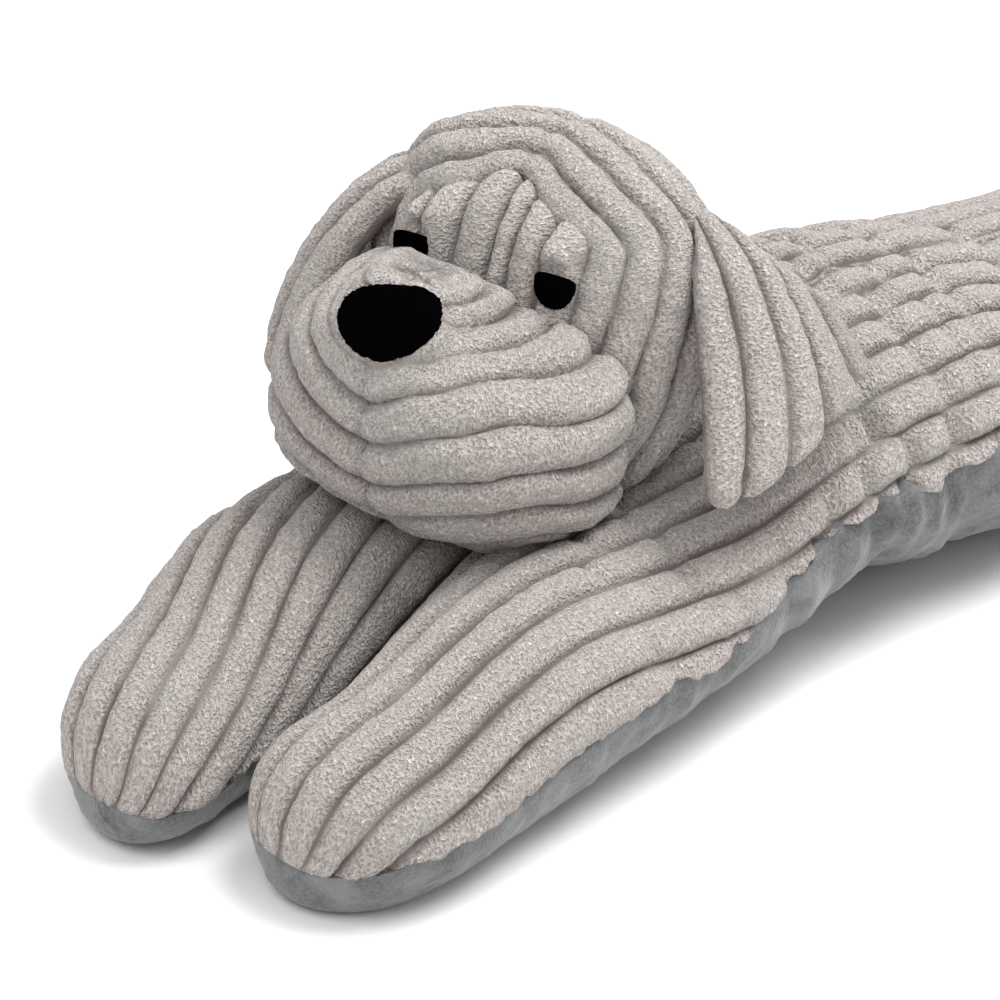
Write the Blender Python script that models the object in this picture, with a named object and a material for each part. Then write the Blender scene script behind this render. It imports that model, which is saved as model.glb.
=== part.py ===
"""Draught excluder: a stuffed dog of jumbo cord that lies along the foot of a door.

The dog rests on its belly along Y, forelegs towards -Y, with its head turned a little towards +X.
The cord top, the smooth underside, the head's panels, the muzzle, the ears, the nose and the eyes
are one filled solid each. Sizes are in millimetres and become metres when a mesh is made. The
tables are measured from a point on the floor under the head; FLOOR_CENTRE moves the whole dog so
that the middle of its footprint is at the world's origin.
"""

import math

import bmesh
import bpy
import numpy as np

MM = 0.001
NAME = "draught_excluder"
FLOOR_CENTRE = (-5.2, 297.0)
GAP = 0.3
MERGE = 0.00001

# Jumbo cord: the ribs run along the body, and a groove lies on the back's middle line.
RIB_DEPTH = 3.0
RIB_FULLNESS = 2.7
RIB_STEPS = 4
INNER_RIBS, OUTER_RIBS = 14, 7
GROOVE_SHARE = 0.6

# Body: two tubes, one for each foreleg, that grow into one another at the shoulders.
TUBE_COLUMNS = ("y", "x", "half_width", "height", "rib_drift")
LEFT_TUBE = (
    (-130, 63, 32, 45.5, 0),
    (-97, 65, 33, 51, -4),
    (-60, 57, 36.5, 60, -4),
    (-20, 45, 42, 63, 3),
    (15, 32, 50, 59, 15),
    (50, 20, 56, 66, 28),
    (85, 10, 61, 88, 43),
    (115, 3, 67, 98, 53),
    (150, 3, 69, 97, 53),
    (200, 5, 66, 89, 53),
    (260, 6, 64, 84, 53),
    (400, 5, 68, 88, 53),
    (550, 4, 70, 91, 53),
    (745, 3, 68, 89, 53),
)
RIGHT_TUBE = (
    (-152, 1.5, 33, 46, 0),
    (-115, -9, 33, 53.5, 10),
    (-80, -20, 37.5, 65.5, 23),
    (-40, -27, 39.5, 68, 38),
    (0, -30, 44, 66, 49),
    (45, -23, 51, 70, 60),
    (85, -8, 60, 90, 76),
    (115, 1, 68, 98, 93),
    (150, 2, 70, 97, 93),
    (200, 5, 66, 89, 93),
    (260, 6, 64, 84, 93),
    (400, 5, 68, 88, 93),
    (550, 4, 70, 91, 93),
    (745, 3, 68, 89, 93),
)
LEFT_PAW_TIP = -134.0
RIGHT_PAW_TIP = -153.0
PAW_LENGTH = 34.0
PAW_TIP_Z = 13.0
PAW_BLUNTNESS = 2.4
RUMP_END = 747.0
RUMP_LENGTH = 62.0
RUMP_END_Z = 46.0
RUMP_BLUNTNESS = 2.2
SIDE_BLUNTNESS = 2.2
WIDEST_SHARE = 0.46
FLOOR_SAG = 3.0

# The seam between cord and underside climbs from the paws to the flanks.
SEAM_COLUMNS = ("y", "height")
SEAM = (
    (-153, 12),
    (-110, 19),
    (-80, 26),
    (-44, 33),
    (13, 43),
    (39, 50),
    (80, 60),
    (125, 60),
    (200, 56),
    (747, 57),
)

# Compression creases that cross the ribs: the place, the depth and how far a crease spreads.
CREASE_COLUMNS = ("y", "depth", "spread")
CREASES = (
    (-6, 2.2, 5),
    (23, 2.2, 5),
    (74, 3.2, 5),
    (105, 3.6, 5),
    (124, 2.8, 5),
    (187, 2.6, 7),
    (292, 1.8, 9),
    (408, 2.0, 10),
    (531, 1.8, 9),
    (640, 2.0, 9),
)
PITCH_COLUMNS = ("y", "pitch")
PITCHES = ((-153, 14.6), (-90, 14.8), (-20, 14.4), (40, 13.9), (115, 13.25), (747, 13.25))

SECTION_SAMPLES = 361
EDGE_LIFT = 0.4
BASE_STEPS = 10
BASE_INSET = 1.2

# Rows of points along the body.
PAW_ANGLES = (0, 14, 27, 40, 54, 70)
RUMP_ANGLES = (18, 36, 52, 66, 78, 90)
LEG_ROWS = 7
SHOULDER_END = 220.0
SHOULDER_ROWS = 19
TRUNK_ROWS = 12
CLOSEST_ROWS = 6.0

# Head: an egg-shaped skull whose axis points forward and a little up, opened by the face panel.
HEAD_FRONT = (5.2, -54.8)
HEAD_YAW = math.radians(15)
SKULL_LEAN = math.radians(18)
SKULL_BACK_FROM_FRONT = 93.0
SKULL_Z = 118.0
SKULL_FRONT, SKULL_REAR = 38.5, 36.0
SKULL_HALF_WIDTH, SKULL_HALF_HEIGHT, SKULL_DROP = 58.0, 48.0, 80.0
FACE_OPENING = 0.5
CROWN_PEAK = 6.5
CROWN_PEAK_SPREAD = 0.45
RING_PITCH = 12.2
RING_STEPS = 4
RING_TURNS = 15
SEAT_ON_BODY = 2.8
PRESSED_DEPTH = 10.0

FACE_RIB_EDGES = (-28.0, -24.0, -10.0, 3.5, 9.5, 19.5, 28.0)
FACE_RISE = 2.4
FACE_EDGE_WIDTH = 5.0
FACE_HALF_WIDTH = FACE_OPENING * SKULL_HALF_WIDTH - 1.0
FACE_HALF_HEIGHT = FACE_OPENING * SKULL_HALF_HEIGHT
FACE_PEAK_SPREAD = 12.0
FACE_ROWS = 9
EYE_SPACING = 25.5
EYE_RISE = 3.0
EYE_HALF_WIDTH, EYE_HALF_HEIGHT = 6.0, 5.2
EYE_THICKNESS = 1.6
EYE_SEAT = 37.2
EYE_SEAT_SPREAD = 1.8

# Muzzle: a boxy cushion in two halves, tucked in behind its widest place. Its ribs rise a little
# towards the cheeks, and the whole of it rolls to the dog's left by MUZZLE_ROLL, a fall over a width.
MUZZLE_COLUMNS = ("height", "front", "rear", "tuck", "half_width", "rise")
MUZZLE = (
    (60, -27, -50, 12, 43, 2),
    (66, -16, -52, 14, 48, 3),
    (74, -5, -53, 14, 51, 5),
    (86, 2, -53, 14, 54, 7),
    (100, 3, -53, 14, 54, 8),
    (112, 2, -52, 13, 46, 8),
    (122, 0, -50, 12, 36, 6),
    (128, -2, -49, 10, 30, 2),
    (134, -9, -46, 7, 25, -1),
    (140, -15, -41, 5, 21, -3),
    (145, -20, -36, 4, 16, -3),
    (148.5, -26, -31, 2, 8, -3),
)
TUCK_SHARE = 0.15
TUCK_STEPS = 3
MUZZLE_ROLL = 0.05
MUZZLE_RIB_EDGES = (60.0, 74.0, 86.0, 100.0, 112.5, 125.5, 137.5, 149.5)
MUZZLE_BLUNTNESS = 2.5
MUZZLE_TURNS = 9
MUZZLE_BACK_STEPS = 4
SKULL_CLEARANCE = 4.0

NOSE_LOW, NOSE_HIGH = (-1.0, 127.0), (-20.0, 144.5)
NOSE_HALF_WIDTH, NOSE_HALF_HEIGHT = 16.5, 12.0
NOSE_THICKNESS = 2.6
NOSE_SEAT_SPREAD, NOSE_RIM_SPREAD, NOSE_RIM_HEIGHT = 1.25, 1.6, 0.5
PATCH_TURNS = 24

# Ears: flat padded flaps. A row is one rib edge, from the cheek backwards, with its top, middle
# and lower end given forward of the muzzle's front, to the side, and above the floor.
EAR_COLUMNS = ("across", "top_a", "top_b", "top_z", "mid_a", "mid_b", "mid_z", "low_a", "low_b", "low_z")
LEFT_EAR = (
    (0, -93, 49.5, 144, -71, 69, 112, -55, 82, 80),
    (13, -98, 47.5, 149, -81, 76, 116, -63, 88, 79.5),
    (26, -103, 52, 150, -91, 82, 117, -79, 93, 84),
    (39, -108, 61, 143, -102, 84, 114, -97, 94.5, 91),
    (52, -117, 69, 130, -116, 84, 110, -118, 92, 95),
    (64, -126, 77, 117, -127, 83, 106, -131, 88, 97),
)
RIGHT_EAR = (
    (0, -72, 34, 146, -58, 52, 116, -47, 62, 84),
    (13, -80, 38, 149, -64, 64, 118, -53, 73, 78),
    (26, -90, 43, 148, -76, 72, 116, -66, 81, 76),
    (39, -101, 50, 143, -91, 77, 113, -81, 86, 79),
    (52, -110, 58, 133, -106, 79, 107, -100, 86, 85),
    (64, -120, 65, 117, -120, 79, 102, -118, 84, 91),
)
EAR_THICKNESS, EAR_EDGE_THINNING = 7.0, 0.75
EAR_EDGE_WIDTH, EAR_END_SHARE = 9.0, 0.08
EAR_ROWS = 9
EAR_OFF_SKULL = 0.5

# Cloths: what each is called, its colour, its roughness and its sheen.
CORD = ("cord", (0.43, 0.39, 0.37, 1), 0.95, 0.4)
VELOUR = ("velour", (0.15, 0.15, 0.15, 1), 0.9, 0.2)
FELT = ("felt", (0.008, 0.008, 0.01, 1), 0.9, 0.1)


def clear_scene():
    for obj in list(bpy.data.objects):
        bpy.data.objects.remove(obj, do_unlink=True)


def named(table, columns):
    """A table's columns by name."""
    return dict(zip(columns, np.array(table, float).T))


def read_smoothly(at, places, values):
    """A smooth curve through a table's values, flat beyond its ends."""
    slopes = np.gradient(values, places)
    at = np.clip(at, places[0], places[-1])
    row = np.clip(np.searchsorted(places, at, side="right") - 1, 0, len(places) - 2)
    width = places[row + 1] - places[row]
    t = (at - places[row]) / width
    rise = values[row] * (1 + 2 * t) * (1 - t) ** 2 + values[row + 1] * t * t * (3 - 2 * t)
    return rise + width * t * (1 - t) * ((1 - t) * slopes[row] - t * slopes[row + 1])


def rib_height(share):
    """How far a rib stands off its cloth, from one groove (0) to the next (1)."""
    crest = 1 - np.abs(2 * share - 1) ** RIB_FULLNESS
    return RIB_DEPTH * (crest - GROOVE_SHARE)


def rib_height_between(place, edges):
    """The same for ribs of unlike widths, between rising groove places."""
    edges = np.asarray(edges)
    k = int(np.clip(np.searchsorted(edges, place, side="right") - 1, 0, len(edges) - 2))
    return rib_height((place - edges[k]) / (edges[k + 1] - edges[k]))


def crease_depth(y):
    creases = named(CREASES, CREASE_COLUMNS)
    reach = (y - creases["y"]) / creases["spread"]
    return float((creases["depth"] * np.exp(-(reach**2))).sum())


class Tube:
    """One half of the body: a foreleg that goes on as half of the trunk."""

    def __init__(self, table, paw_tip, side):
        self.table = named(table, TUBE_COLUMNS)
        self.paw_tip = paw_tip
        self.side = side

    def fullness(self, y):
        """1 along the tube, falling to 0 at the paw's tip and at the rump's end."""
        if y < self.paw_tip + PAW_LENGTH:
            reach = (self.paw_tip + PAW_LENGTH - y) / PAW_LENGTH
            return max(0.0, 1 - reach**PAW_BLUNTNESS) ** (1 / PAW_BLUNTNESS)
        if y > RUMP_END - RUMP_LENGTH:
            reach = (y - RUMP_END + RUMP_LENGTH) / RUMP_LENGTH
            return max(0.0, 1 - reach**RUMP_BLUNTNESS) ** (1 / RUMP_BLUNTNESS)
        return 1.0

    def section(self, y):
        """The cross-section at y: middle, half width, top, widest place, lowest place and seam."""
        read = {}
        for name in TUBE_COLUMNS[1:]:
            read[name] = float(read_smoothly(y, self.table["y"], self.table[name]))
        seam = named(SEAM, SEAM_COLUMNS)
        full = self.fullness(y)
        end_z = PAW_TIP_Z if y < 0 else RUMP_END_Z
        heights = {
            "top": read["height"],
            "widest": WIDEST_SHARE * read["height"],
            "bottom": -FLOOR_SAG,
            "seam": float(read_smoothly(y, seam["y"], seam["height"])),
        }
        section = {name: end_z + (z - end_z) * full for name, z in heights.items()}
        section.update(y=y, x=read["x"], half_width=read["half_width"] * full, full=full)
        section["rib_drift"] = read["rib_drift"]
        return section

    def outline(self, section):
        """Points round the section, from its lowest place up the inner side and down the outer."""
        angle = np.radians(np.linspace(270, -90, SECTION_SAMPLES))
        across = np.sign(np.cos(angle)) * np.abs(np.cos(angle)) ** (2 / SIDE_BLUNTNESS)
        up = np.sign(np.sin(angle)) * np.abs(np.sin(angle)) ** (2 / SIDE_BLUNTNESS)
        reach = np.where(up > 0, section["top"] - section["widest"], section["widest"] - section["bottom"])
        x = section["x"] + self.side * section["half_width"] * across
        z = np.maximum(section["widest"] + reach * up, 0.0)
        return np.stack([x, z], axis=1)

    def top_at(self, x, y):
        """The height of the tube's upper surface over a floor point, or 0 beside it."""
        section = self.section(y)
        off = abs(x - section["x"]) / max(section["half_width"], 1e-6)
        if off >= 1:
            return 0.0
        rise = (1 - off**SIDE_BLUNTNESS) ** (1 / SIDE_BLUNTNESS)
        return section["widest"] + (section["top"] - section["widest"]) * rise


LEFT = Tube(LEFT_TUBE, LEFT_PAW_TIP, 1)
RIGHT = Tube(RIGHT_TUBE, RIGHT_PAW_TIP, -1)


def body_top(x, y):
    return max(LEFT.top_at(x, y), RIGHT.top_at(x, y))


def cross_seam(points, seam, first):
    """The first (or last) place where the outline passes the seam's height, as a point."""
    above = np.flatnonzero(points[:, 1] >= seam)
    if len(above) == 0:
        return points[len(points) // 2], 0
    i = above[0] if first else above[-1]
    j = i - 1 if first else i + 1
    if j < 0 or j >= len(points):
        return points[i], i
    t = (seam - points[j][1]) / max(points[i][1] - points[j][1], 1e-9)
    return points[j] + (points[i] - points[j]) * t, i


def middle_line(y):
    """Where the two tubes' upper surfaces meet between the legs: x and z, or None in front."""
    left, right = LEFT.section(y), RIGHT.section(y)
    low, high = right["x"], left["x"]
    if high - low < 1e-3:
        return (low + high) / 2, (left["top"] + right["top"]) / 2
    for _ in range(50):
        x = (low + high) / 2
        if LEFT.top_at(x, y) > RIGHT.top_at(x, y):
            high = x
        else:
            low = x
    z = min(LEFT.top_at(x, y), RIGHT.top_at(x, y))
    return (x, z) if z > left["seam"] else None


def crotch():
    """The place where the legs' inner sides first meet at the seam's height."""
    low, high = -100.0, 60.0
    for _ in range(50):
        y = (low + high) / 2
        if middle_line(y) is None:
            low = y
        else:
            high = y
    return high


CROTCH_Y = crotch()


def arc_lengths(points):
    steps = np.linalg.norm(np.diff(points, axis=0), axis=1)
    return np.concatenate([[0.0], np.cumsum(steps)])


def normals_of(points, side):
    along = np.gradient(points, axis=0)
    out = np.stack([-along[:, 1], along[:, 0]], axis=1) * side
    return out / np.maximum(np.linalg.norm(out, axis=1, keepdims=True), 1e-9)


def at_lengths(points, lengths, wanted):
    return np.stack([np.interp(wanted, lengths, points[:, k]) for k in range(points.shape[1])], axis=1)


def shared_middle(y):
    """The point of the middle line that both halves of the top share, or None between the legs."""
    if y < CROTCH_Y - 1e-6:
        return None
    x, z = middle_line(max(y, CROTCH_Y))
    seam = LEFT.section(y)["seam"]
    return np.array([x, seam if y < CROTCH_Y + 1e-6 else max(z, seam)])


def cord_row(tube, y):
    """The cord top's points at y: over its ribs from the inner side, then its floor's inner end."""
    section = tube.section(y)
    outline = tube.outline(section)
    inner, first = cross_seam(outline, section["seam"], True)
    outer, last = cross_seam(outline, section["seam"], False)
    points = np.vstack([inner, outline[first : last + 1], outer])
    lengths = arc_lengths(points)
    crown = lengths[min((SECTION_SAMPLES - 1) // 2 - first + 1, len(lengths) - 1)]
    start, end = -crown, lengths[-1] - crown
    middle = shared_middle(y)
    floor = inner
    if middle is not None:
        beside = tube.side * (points[:, 0] - middle[0])
        inner_half = lengths <= crown + 1e-6
        start = float(np.interp(0.0, beside[inner_half], lengths[inner_half])) - crown
        floor = np.array([middle[0], section["seam"]])
    pitches = named(PITCHES, PITCH_COLUMNS)
    pitch = float(read_smoothly(y, pitches["y"], pitches["pitch"]))
    steps = np.arange(-INNER_RIBS * RIB_STEPS, OUTER_RIBS * RIB_STEPS + 1)
    places = np.clip(steps * pitch / RIB_STEPS + section["rib_drift"], start, end)
    swell = rib_height(((places - section["rib_drift"]) / pitch) % 1.0) * min(1.0, 1.5 * section["full"])
    swell -= crease_depth(y) * section["full"]
    out = at_lengths(normals_of(points, tube.side), lengths, places + crown)
    row = at_lengths(points, lengths, places + crown) + out * swell[:, None]
    row[:, 1] = np.maximum(row[:, 1], section["seam"] + np.where(places < end, EDGE_LIFT, 0.0))
    if middle is not None:
        row[:, 0] = middle[0] + tube.side * np.maximum(tube.side * (row[:, 0] - middle[0]), 0.0)
    row[places <= start + 1e-9] = inner if middle is None else middle
    return np.vstack([row, floor])


def underside_at(tube, x, y):
    section = tube.section(y)
    off = min(abs(x - section["x"]) / max(section["half_width"], 1e-6), 1.0)
    drop = (1 - off**SIDE_BLUNTNESS) ** (1 / SIDE_BLUNTNESS)
    return max(section["widest"] - (section["widest"] - section["bottom"]) * drop, 0.0)


def base_row(tube, y):
    """The underside's points at y: its roof's inner end, then from the outer seam inwards below."""
    section = tube.section(y)
    seam = section["seam"] - GAP * section["full"]
    outline = tube.outline(section)
    inner, first = cross_seam(outline, seam, True)
    outer, last = cross_seam(outline, seam, False)
    points = np.vstack([outer, outline[last + 1 :], outline[:first], inner])
    lengths = arc_lengths(points)
    middle = shared_middle(y)
    end, roof = lengths[-1], inner
    if middle is not None:
        past = tube.side * (points[:, 0] - middle[0]) <= 0
        end = lengths[np.argmax(past)] if past.any() else end
        roof = np.array([middle[0], seam])
    row = at_lengths(points, lengths, end * np.linspace(0, 1, BASE_STEPS + 1))
    inset = BASE_INSET * section["full"] * np.minimum(row[:, 1] / 4.0, 1.0)
    row[:, 0] += np.sign(section["x"] - row[:, 0]) * inset
    row[:, 1] = np.minimum(row[:, 1], seam)
    if middle is None:
        row[-1] = inner
    elif y < CROTCH_Y + 1e-6:
        row[-1] = roof
    else:
        low = 0.5 * (underside_at(LEFT, middle[0], y) + underside_at(RIGHT, middle[0], y))
        row[:, 0] = middle[0] + tube.side * np.maximum(tube.side * (row[:, 0] - middle[0]), 0.0)
        row[-1] = (middle[0], min(low, seam - GAP))
    return np.vstack([roof, row])


def leg_stations(paw_tip):
    """Row places along Y from a paw's tip to just before the crotch."""
    paw = [paw_tip + PAW_LENGTH * (1 - math.cos(math.radians(a))) for a in PAW_ANGLES]
    return paw + list(np.linspace(paw_tip + PAW_LENGTH, CROTCH_Y, LEG_ROWS)[:-1])


def trunk_stations():
    """Row places from the crotch to the rump: even ones, with three more across each crease."""
    rump_start = RUMP_END - RUMP_LENGTH
    even = list(np.linspace(CROTCH_Y, SHOULDER_END, SHOULDER_ROWS))
    even += list(np.linspace(SHOULDER_END, rump_start, TRUNK_ROWS)[1:])
    creased = [y + k * spread for y, _, spread in CREASES for k in (-1.6, 0, 1.6)]
    kept = (CROTCH_Y, rump_start)
    spaced = [y for y in even if min(abs(y - c) for c in creased) > CLOSEST_ROWS or y in kept]
    rump = [rump_start + RUMP_LENGTH * math.sin(math.radians(a)) for a in RUMP_ANGLES]
    return sorted(spaced + creased) + rump


def add_rows(points, faces, rows, y_places):
    """Adds one half's rows; each is closed between its last two columns, and open at the middle line."""
    first, columns = len(points), len(rows[0])
    for y, row in zip(y_places, rows):
        points += [(x, y, z) for x, z in row]
    for i in range(len(rows) - 1):
        a, b = first + i * columns, first + (i + 1) * columns
        faces += [(a + j, a + j + 1, b + j + 1, b + j) for j in range(columns - 1)]


def make_body(name, row_of, cloth, collection, parent):
    points, faces = [], []
    for tube in (LEFT, RIGHT):
        y_places = leg_stations(tube.paw_tip) + trunk_stations()
        add_rows(points, faces, [row_of(tube, y) for y in y_places], y_places)
    return make_mesh(name, points, faces, cloth, collection, parent)


def make_mesh(name, points, faces, cloth, collection, parent):
    """A closed mesh object from points in millimetres, with its seams welded."""
    mesh = bpy.data.meshes.new(name)
    mesh.from_pydata([tuple(float(c) * MM for c in p) for p in points], [], faces)
    work = bmesh.new()
    work.from_mesh(mesh)
    bmesh.ops.remove_doubles(work, verts=work.verts, dist=MERGE)
    bmesh.ops.dissolve_degenerate(work, edges=work.edges, dist=MERGE)
    bmesh.ops.recalc_face_normals(work, faces=work.faces)
    work.to_mesh(mesh)
    work.free()
    mesh.shade_smooth()
    mesh.materials.append(cloth_material(name, cloth))
    obj = bpy.data.objects.new(name, mesh)
    collection.objects.link(obj)
    obj.parent = parent
    return obj


def head_to_floor_frame(a, b, z):
    """From forward of the muzzle's front, to the dog's left, and up, to the table frame."""
    x = HEAD_FRONT[0] + a * math.sin(HEAD_YAW) + b * math.cos(HEAD_YAW)
    y = HEAD_FRONT[1] - a * math.cos(HEAD_YAW) + b * math.sin(HEAD_YAW)
    return (x, y, z)


def skull_to_head(n, m):
    """From along and across the skull's leaning axis to forward and up."""
    a = n * math.cos(SKULL_LEAN) - m * math.sin(SKULL_LEAN) - SKULL_BACK_FROM_FRONT
    z = n * math.sin(SKULL_LEAN) + m * math.cos(SKULL_LEAN) + SKULL_Z
    return a, z


def seat_height(x, y):
    """The lowest place over a floor point that clears the body's ribs."""
    return body_top(x, y) + RIB_DEPTH * (1 - GROOVE_SHARE) + SEAT_ON_BODY


def above_body(point):
    """The point, or the place straight above it that clears the body."""
    x, y, z = point
    return (x, y, max(z, seat_height(x, y)))


def pressed_on_body(point, lowest):
    """The point with all from the piece's lowest height up squeezed together above the body."""
    x, y, z = point
    seat = seat_height(x, y)
    if seat <= lowest or z >= seat + PRESSED_DEPTH:
        return point
    return (x, y, seat + (z - lowest) * PRESSED_DEPTH / (seat + PRESSED_DEPTH - lowest))


def meridian_table():
    """Angle from the skull's front pole against distance over its surface from the face opening."""
    angles = np.linspace(math.asin(FACE_OPENING), math.pi, 400)
    length = np.where(angles < math.pi / 2, SKULL_FRONT, SKULL_REAR)
    across = 0.5 * (SKULL_HALF_WIDTH + SKULL_HALF_HEIGHT)
    speed = np.hypot(length * np.sin(angles), across * np.cos(angles))
    distance = np.concatenate([[0], np.cumsum(0.5 * (speed[1:] + speed[:-1]) * np.diff(angles))])
    return angles, distance


MERIDIAN = meridian_table()


def skull_point(distance, turn, side):
    """A point of the skull: distance back from the face, turn from the crown (0) to the throat (pi)."""
    angles, distances = MERIDIAN
    total = distances[-1]
    peak = CROWN_PEAK * math.exp(-((turn / CROWN_PEAK_SPREAD) ** 2)) * max(0.0, 1 - distance / total)
    angle = float(np.interp(min(distance + peak, total), distances, angles))
    reach = SKULL_FRONT if angle < math.pi / 2 else SKULL_REAR
    n = reach * math.cos(angle)
    b = SKULL_HALF_WIDTH * math.sin(angle) * math.sin(turn)
    height = SKULL_HALF_HEIGHT if turn < math.pi / 2 else SKULL_DROP
    m = height * math.sin(angle) * math.cos(turn)
    normal = np.array([n / reach**2, b / SKULL_HALF_WIDTH**2, m / height**2])
    normal /= np.linalg.norm(normal)
    a, z = skull_to_head(n, m)
    x, y, z = head_to_floor_frame(a, side * b, z)
    free = min(max((z - seat_height(x, y)) / RIB_DEPTH, 0.0), 1.0)
    n, b, m = np.array([n, b, m]) + free * rib_height((distance / RING_PITCH) % 1.0) * normal
    a, z = skull_to_head(n, m)
    return above_body(head_to_floor_frame(a, side * max(b, GAP / 2), z))


def fan_cap(points, faces, ring):
    """Closes a ring of point indices with triangles to its middle."""
    points.append(tuple(np.mean([points[i] for i in ring], axis=0)))
    faces += [(ring[k], ring[(k + 1) % len(ring)], len(points) - 1) for k in range(len(ring))]


def make_head_side(name, side, cloth, collection, parent):
    """Half the skull, with its ribs as rings round the face and a flat wall at the head's middle."""
    total = MERIDIAN[1][-1]
    count = int(total / RING_PITCH) * RING_STEPS
    distances = list(np.arange(count + 1) * RING_PITCH / RING_STEPS) + [total]
    turns = np.linspace(0, math.pi, RING_TURNS)
    points, faces = [], []
    for distance in distances:
        points += [skull_point(distance, turn, side) for turn in turns]
    for i in range(len(distances) - 1):
        a, b = i * RING_TURNS, (i + 1) * RING_TURNS
        faces += [(a + j, a + j + 1, b + j + 1, b + j) for j in range(RING_TURNS - 1)]
    crown = [i * RING_TURNS for i in range(len(distances))]
    faces.append(tuple(crown + [i + RING_TURNS - 1 for i in crown[::-1]]))
    fan_cap(points, faces, list(range(RING_TURNS)))
    return make_mesh(name, points, faces, cloth, collection, parent)


def face_top(b):
    """The face panel's upper edge over b, in the skull's own plane: an arch with a low peak."""
    off = (b / FACE_HALF_WIDTH) ** 2
    arch = FACE_HALF_HEIGHT * math.sqrt(max(0.0, 1 - off))
    return arch + CROWN_PEAK * math.exp(-((b / FACE_PEAK_SPREAD) ** 2)) - (1 - off)


def make_face_panel(name, cloth, collection, parent):
    """The brow: a domed panel of upright ribs, flat where the eyes lie."""
    back = SKULL_FRONT * math.sqrt(1 - FACE_OPENING**2) + GAP
    columns = []
    for low, high in zip(FACE_RIB_EDGES[:-1], FACE_RIB_EDGES[1:]):
        columns += list(np.linspace(low, high, RIB_STEPS + 1)[:-1])
    columns.append(FACE_RIB_EDGES[-1])
    shares = np.linspace(-1, 1, FACE_ROWS + 1)
    points, faces = [], []
    for b in columns:
        upper = face_top(b)
        lower = -FACE_HALF_HEIGHT * math.sqrt(max(0.0, 1 - (b / FACE_HALF_WIDTH) ** 2))
        middle, half = (upper + lower) / 2, (upper - lower) / 2
        for share in shares:
            m = middle + half * share
            points.append(face_point(b, m, share, back))
        points += [face_back(b, middle + half * share, back) for share in shares[::-1]]
    ring = 2 * len(shares)
    for i in range(len(columns) - 1):
        a, c = i * ring, (i + 1) * ring
        faces += [(a + j, a + (j + 1) % ring, c + (j + 1) % ring, c + j) for j in range(ring)]
    faces.append(tuple(range(ring)))
    faces.append(tuple(range((len(columns) - 1) * ring, len(columns) * ring)))
    return make_mesh(name, points, faces, cloth, collection, parent)


def face_point(b, m, share, back):
    """A point of the face panel's front: the skull's own curve, ribbed, and flat under an eye."""
    off = (b / SKULL_HALF_WIDTH) ** 2 + (m / SKULL_HALF_HEIGHT) ** 2
    dome = SKULL_FRONT * math.sqrt(max(0.0, 1 - off)) + FACE_RISE
    edge = (1 - abs(share) ** 6) * min(1.0, (FACE_RIB_EDGES[-1] - abs(b)) / FACE_EDGE_WIDTH)
    n = back + 1.0 + (dome - back - 1.0 + rib_height_between(b, FACE_RIB_EDGES)) * max(edge, 0.0)
    n = max(n, back + 1.0)
    eye_off = math.hypot((abs(b) - EYE_SPACING) / EYE_HALF_WIDTH, (m - EYE_RISE) / EYE_HALF_HEIGHT)
    if eye_off < EYE_SEAT_SPREAD:
        n = min(n, EYE_SEAT - GAP)
    a, z = skull_to_head(n, m)
    return head_to_floor_frame(a, b, z)


def face_back(b, m, back):
    a, z = skull_to_head(back, m)
    return head_to_floor_frame(a, b, z)


def skull_front_at(b, z):
    """How far forward the skull reaches at b and z, with room for its ribs; None beside it."""
    cos, sin, up = math.cos(SKULL_LEAN), math.sin(SKULL_LEAN), z - SKULL_Z
    front = SKULL_FRONT + FACE_RISE + SKULL_CLEARANCE
    width = SKULL_HALF_WIDTH + SKULL_CLEARANCE
    for height in (SKULL_DROP + SKULL_CLEARANCE, SKULL_HALF_HEIGHT + SKULL_CLEARANCE):
        square = (cos / front) ** 2 + (sin / height) ** 2
        linear = 2 * up * cos * sin * (1 / front**2 - 1 / height**2)
        rest = up**2 * ((sin / front) ** 2 + (cos / height) ** 2) + (b / width) ** 2 - 1
        inside = linear**2 - 4 * square * rest
        if inside < 0:
            return None
        forward = (-linear + math.sqrt(inside)) / (2 * square)
        if up * cos < forward * sin:
            break
    return forward - SKULL_BACK_FROM_FRONT


def muzzle_back_at(b, z, rear, side):
    """How far forward the muzzle's back lies: against the skull, or at its own rear beside the skull."""
    front = skull_front_at(b, z - MUZZLE_ROLL * side * b)
    return rear if front is None else max(front, rear)


def muzzle_to_floor_frame(a, b, z):
    return head_to_floor_frame(a, b, z - MUZZLE_ROLL * b)


NOSE_SLOPE = math.atan2(NOSE_HIGH[1] - NOSE_LOW[1], NOSE_LOW[0] - NOSE_HIGH[0])
NOSE_MIDDLE = ((NOSE_LOW[0] + NOSE_HIGH[0]) / 2, (NOSE_LOW[1] + NOSE_HIGH[1]) / 2)


def nose_frame(a, b, z):
    """A point's place on the nose's slope: to the left, up the slope, and out of it."""
    da, dz = a - NOSE_MIDDLE[0], z - NOSE_MIDDLE[1]
    along = -da * math.cos(NOSE_SLOPE) + dz * math.sin(NOSE_SLOPE)
    out = da * math.sin(NOSE_SLOPE) + dz * math.cos(NOSE_SLOPE)
    return b, along, out


def from_nose_frame(b, along, out):
    a = NOSE_MIDDLE[0] - along * math.cos(NOSE_SLOPE) + out * math.sin(NOSE_SLOPE)
    z = NOSE_MIDDLE[1] + along * math.sin(NOSE_SLOPE) + out * math.cos(NOSE_SLOPE)
    return a, b, z


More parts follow.
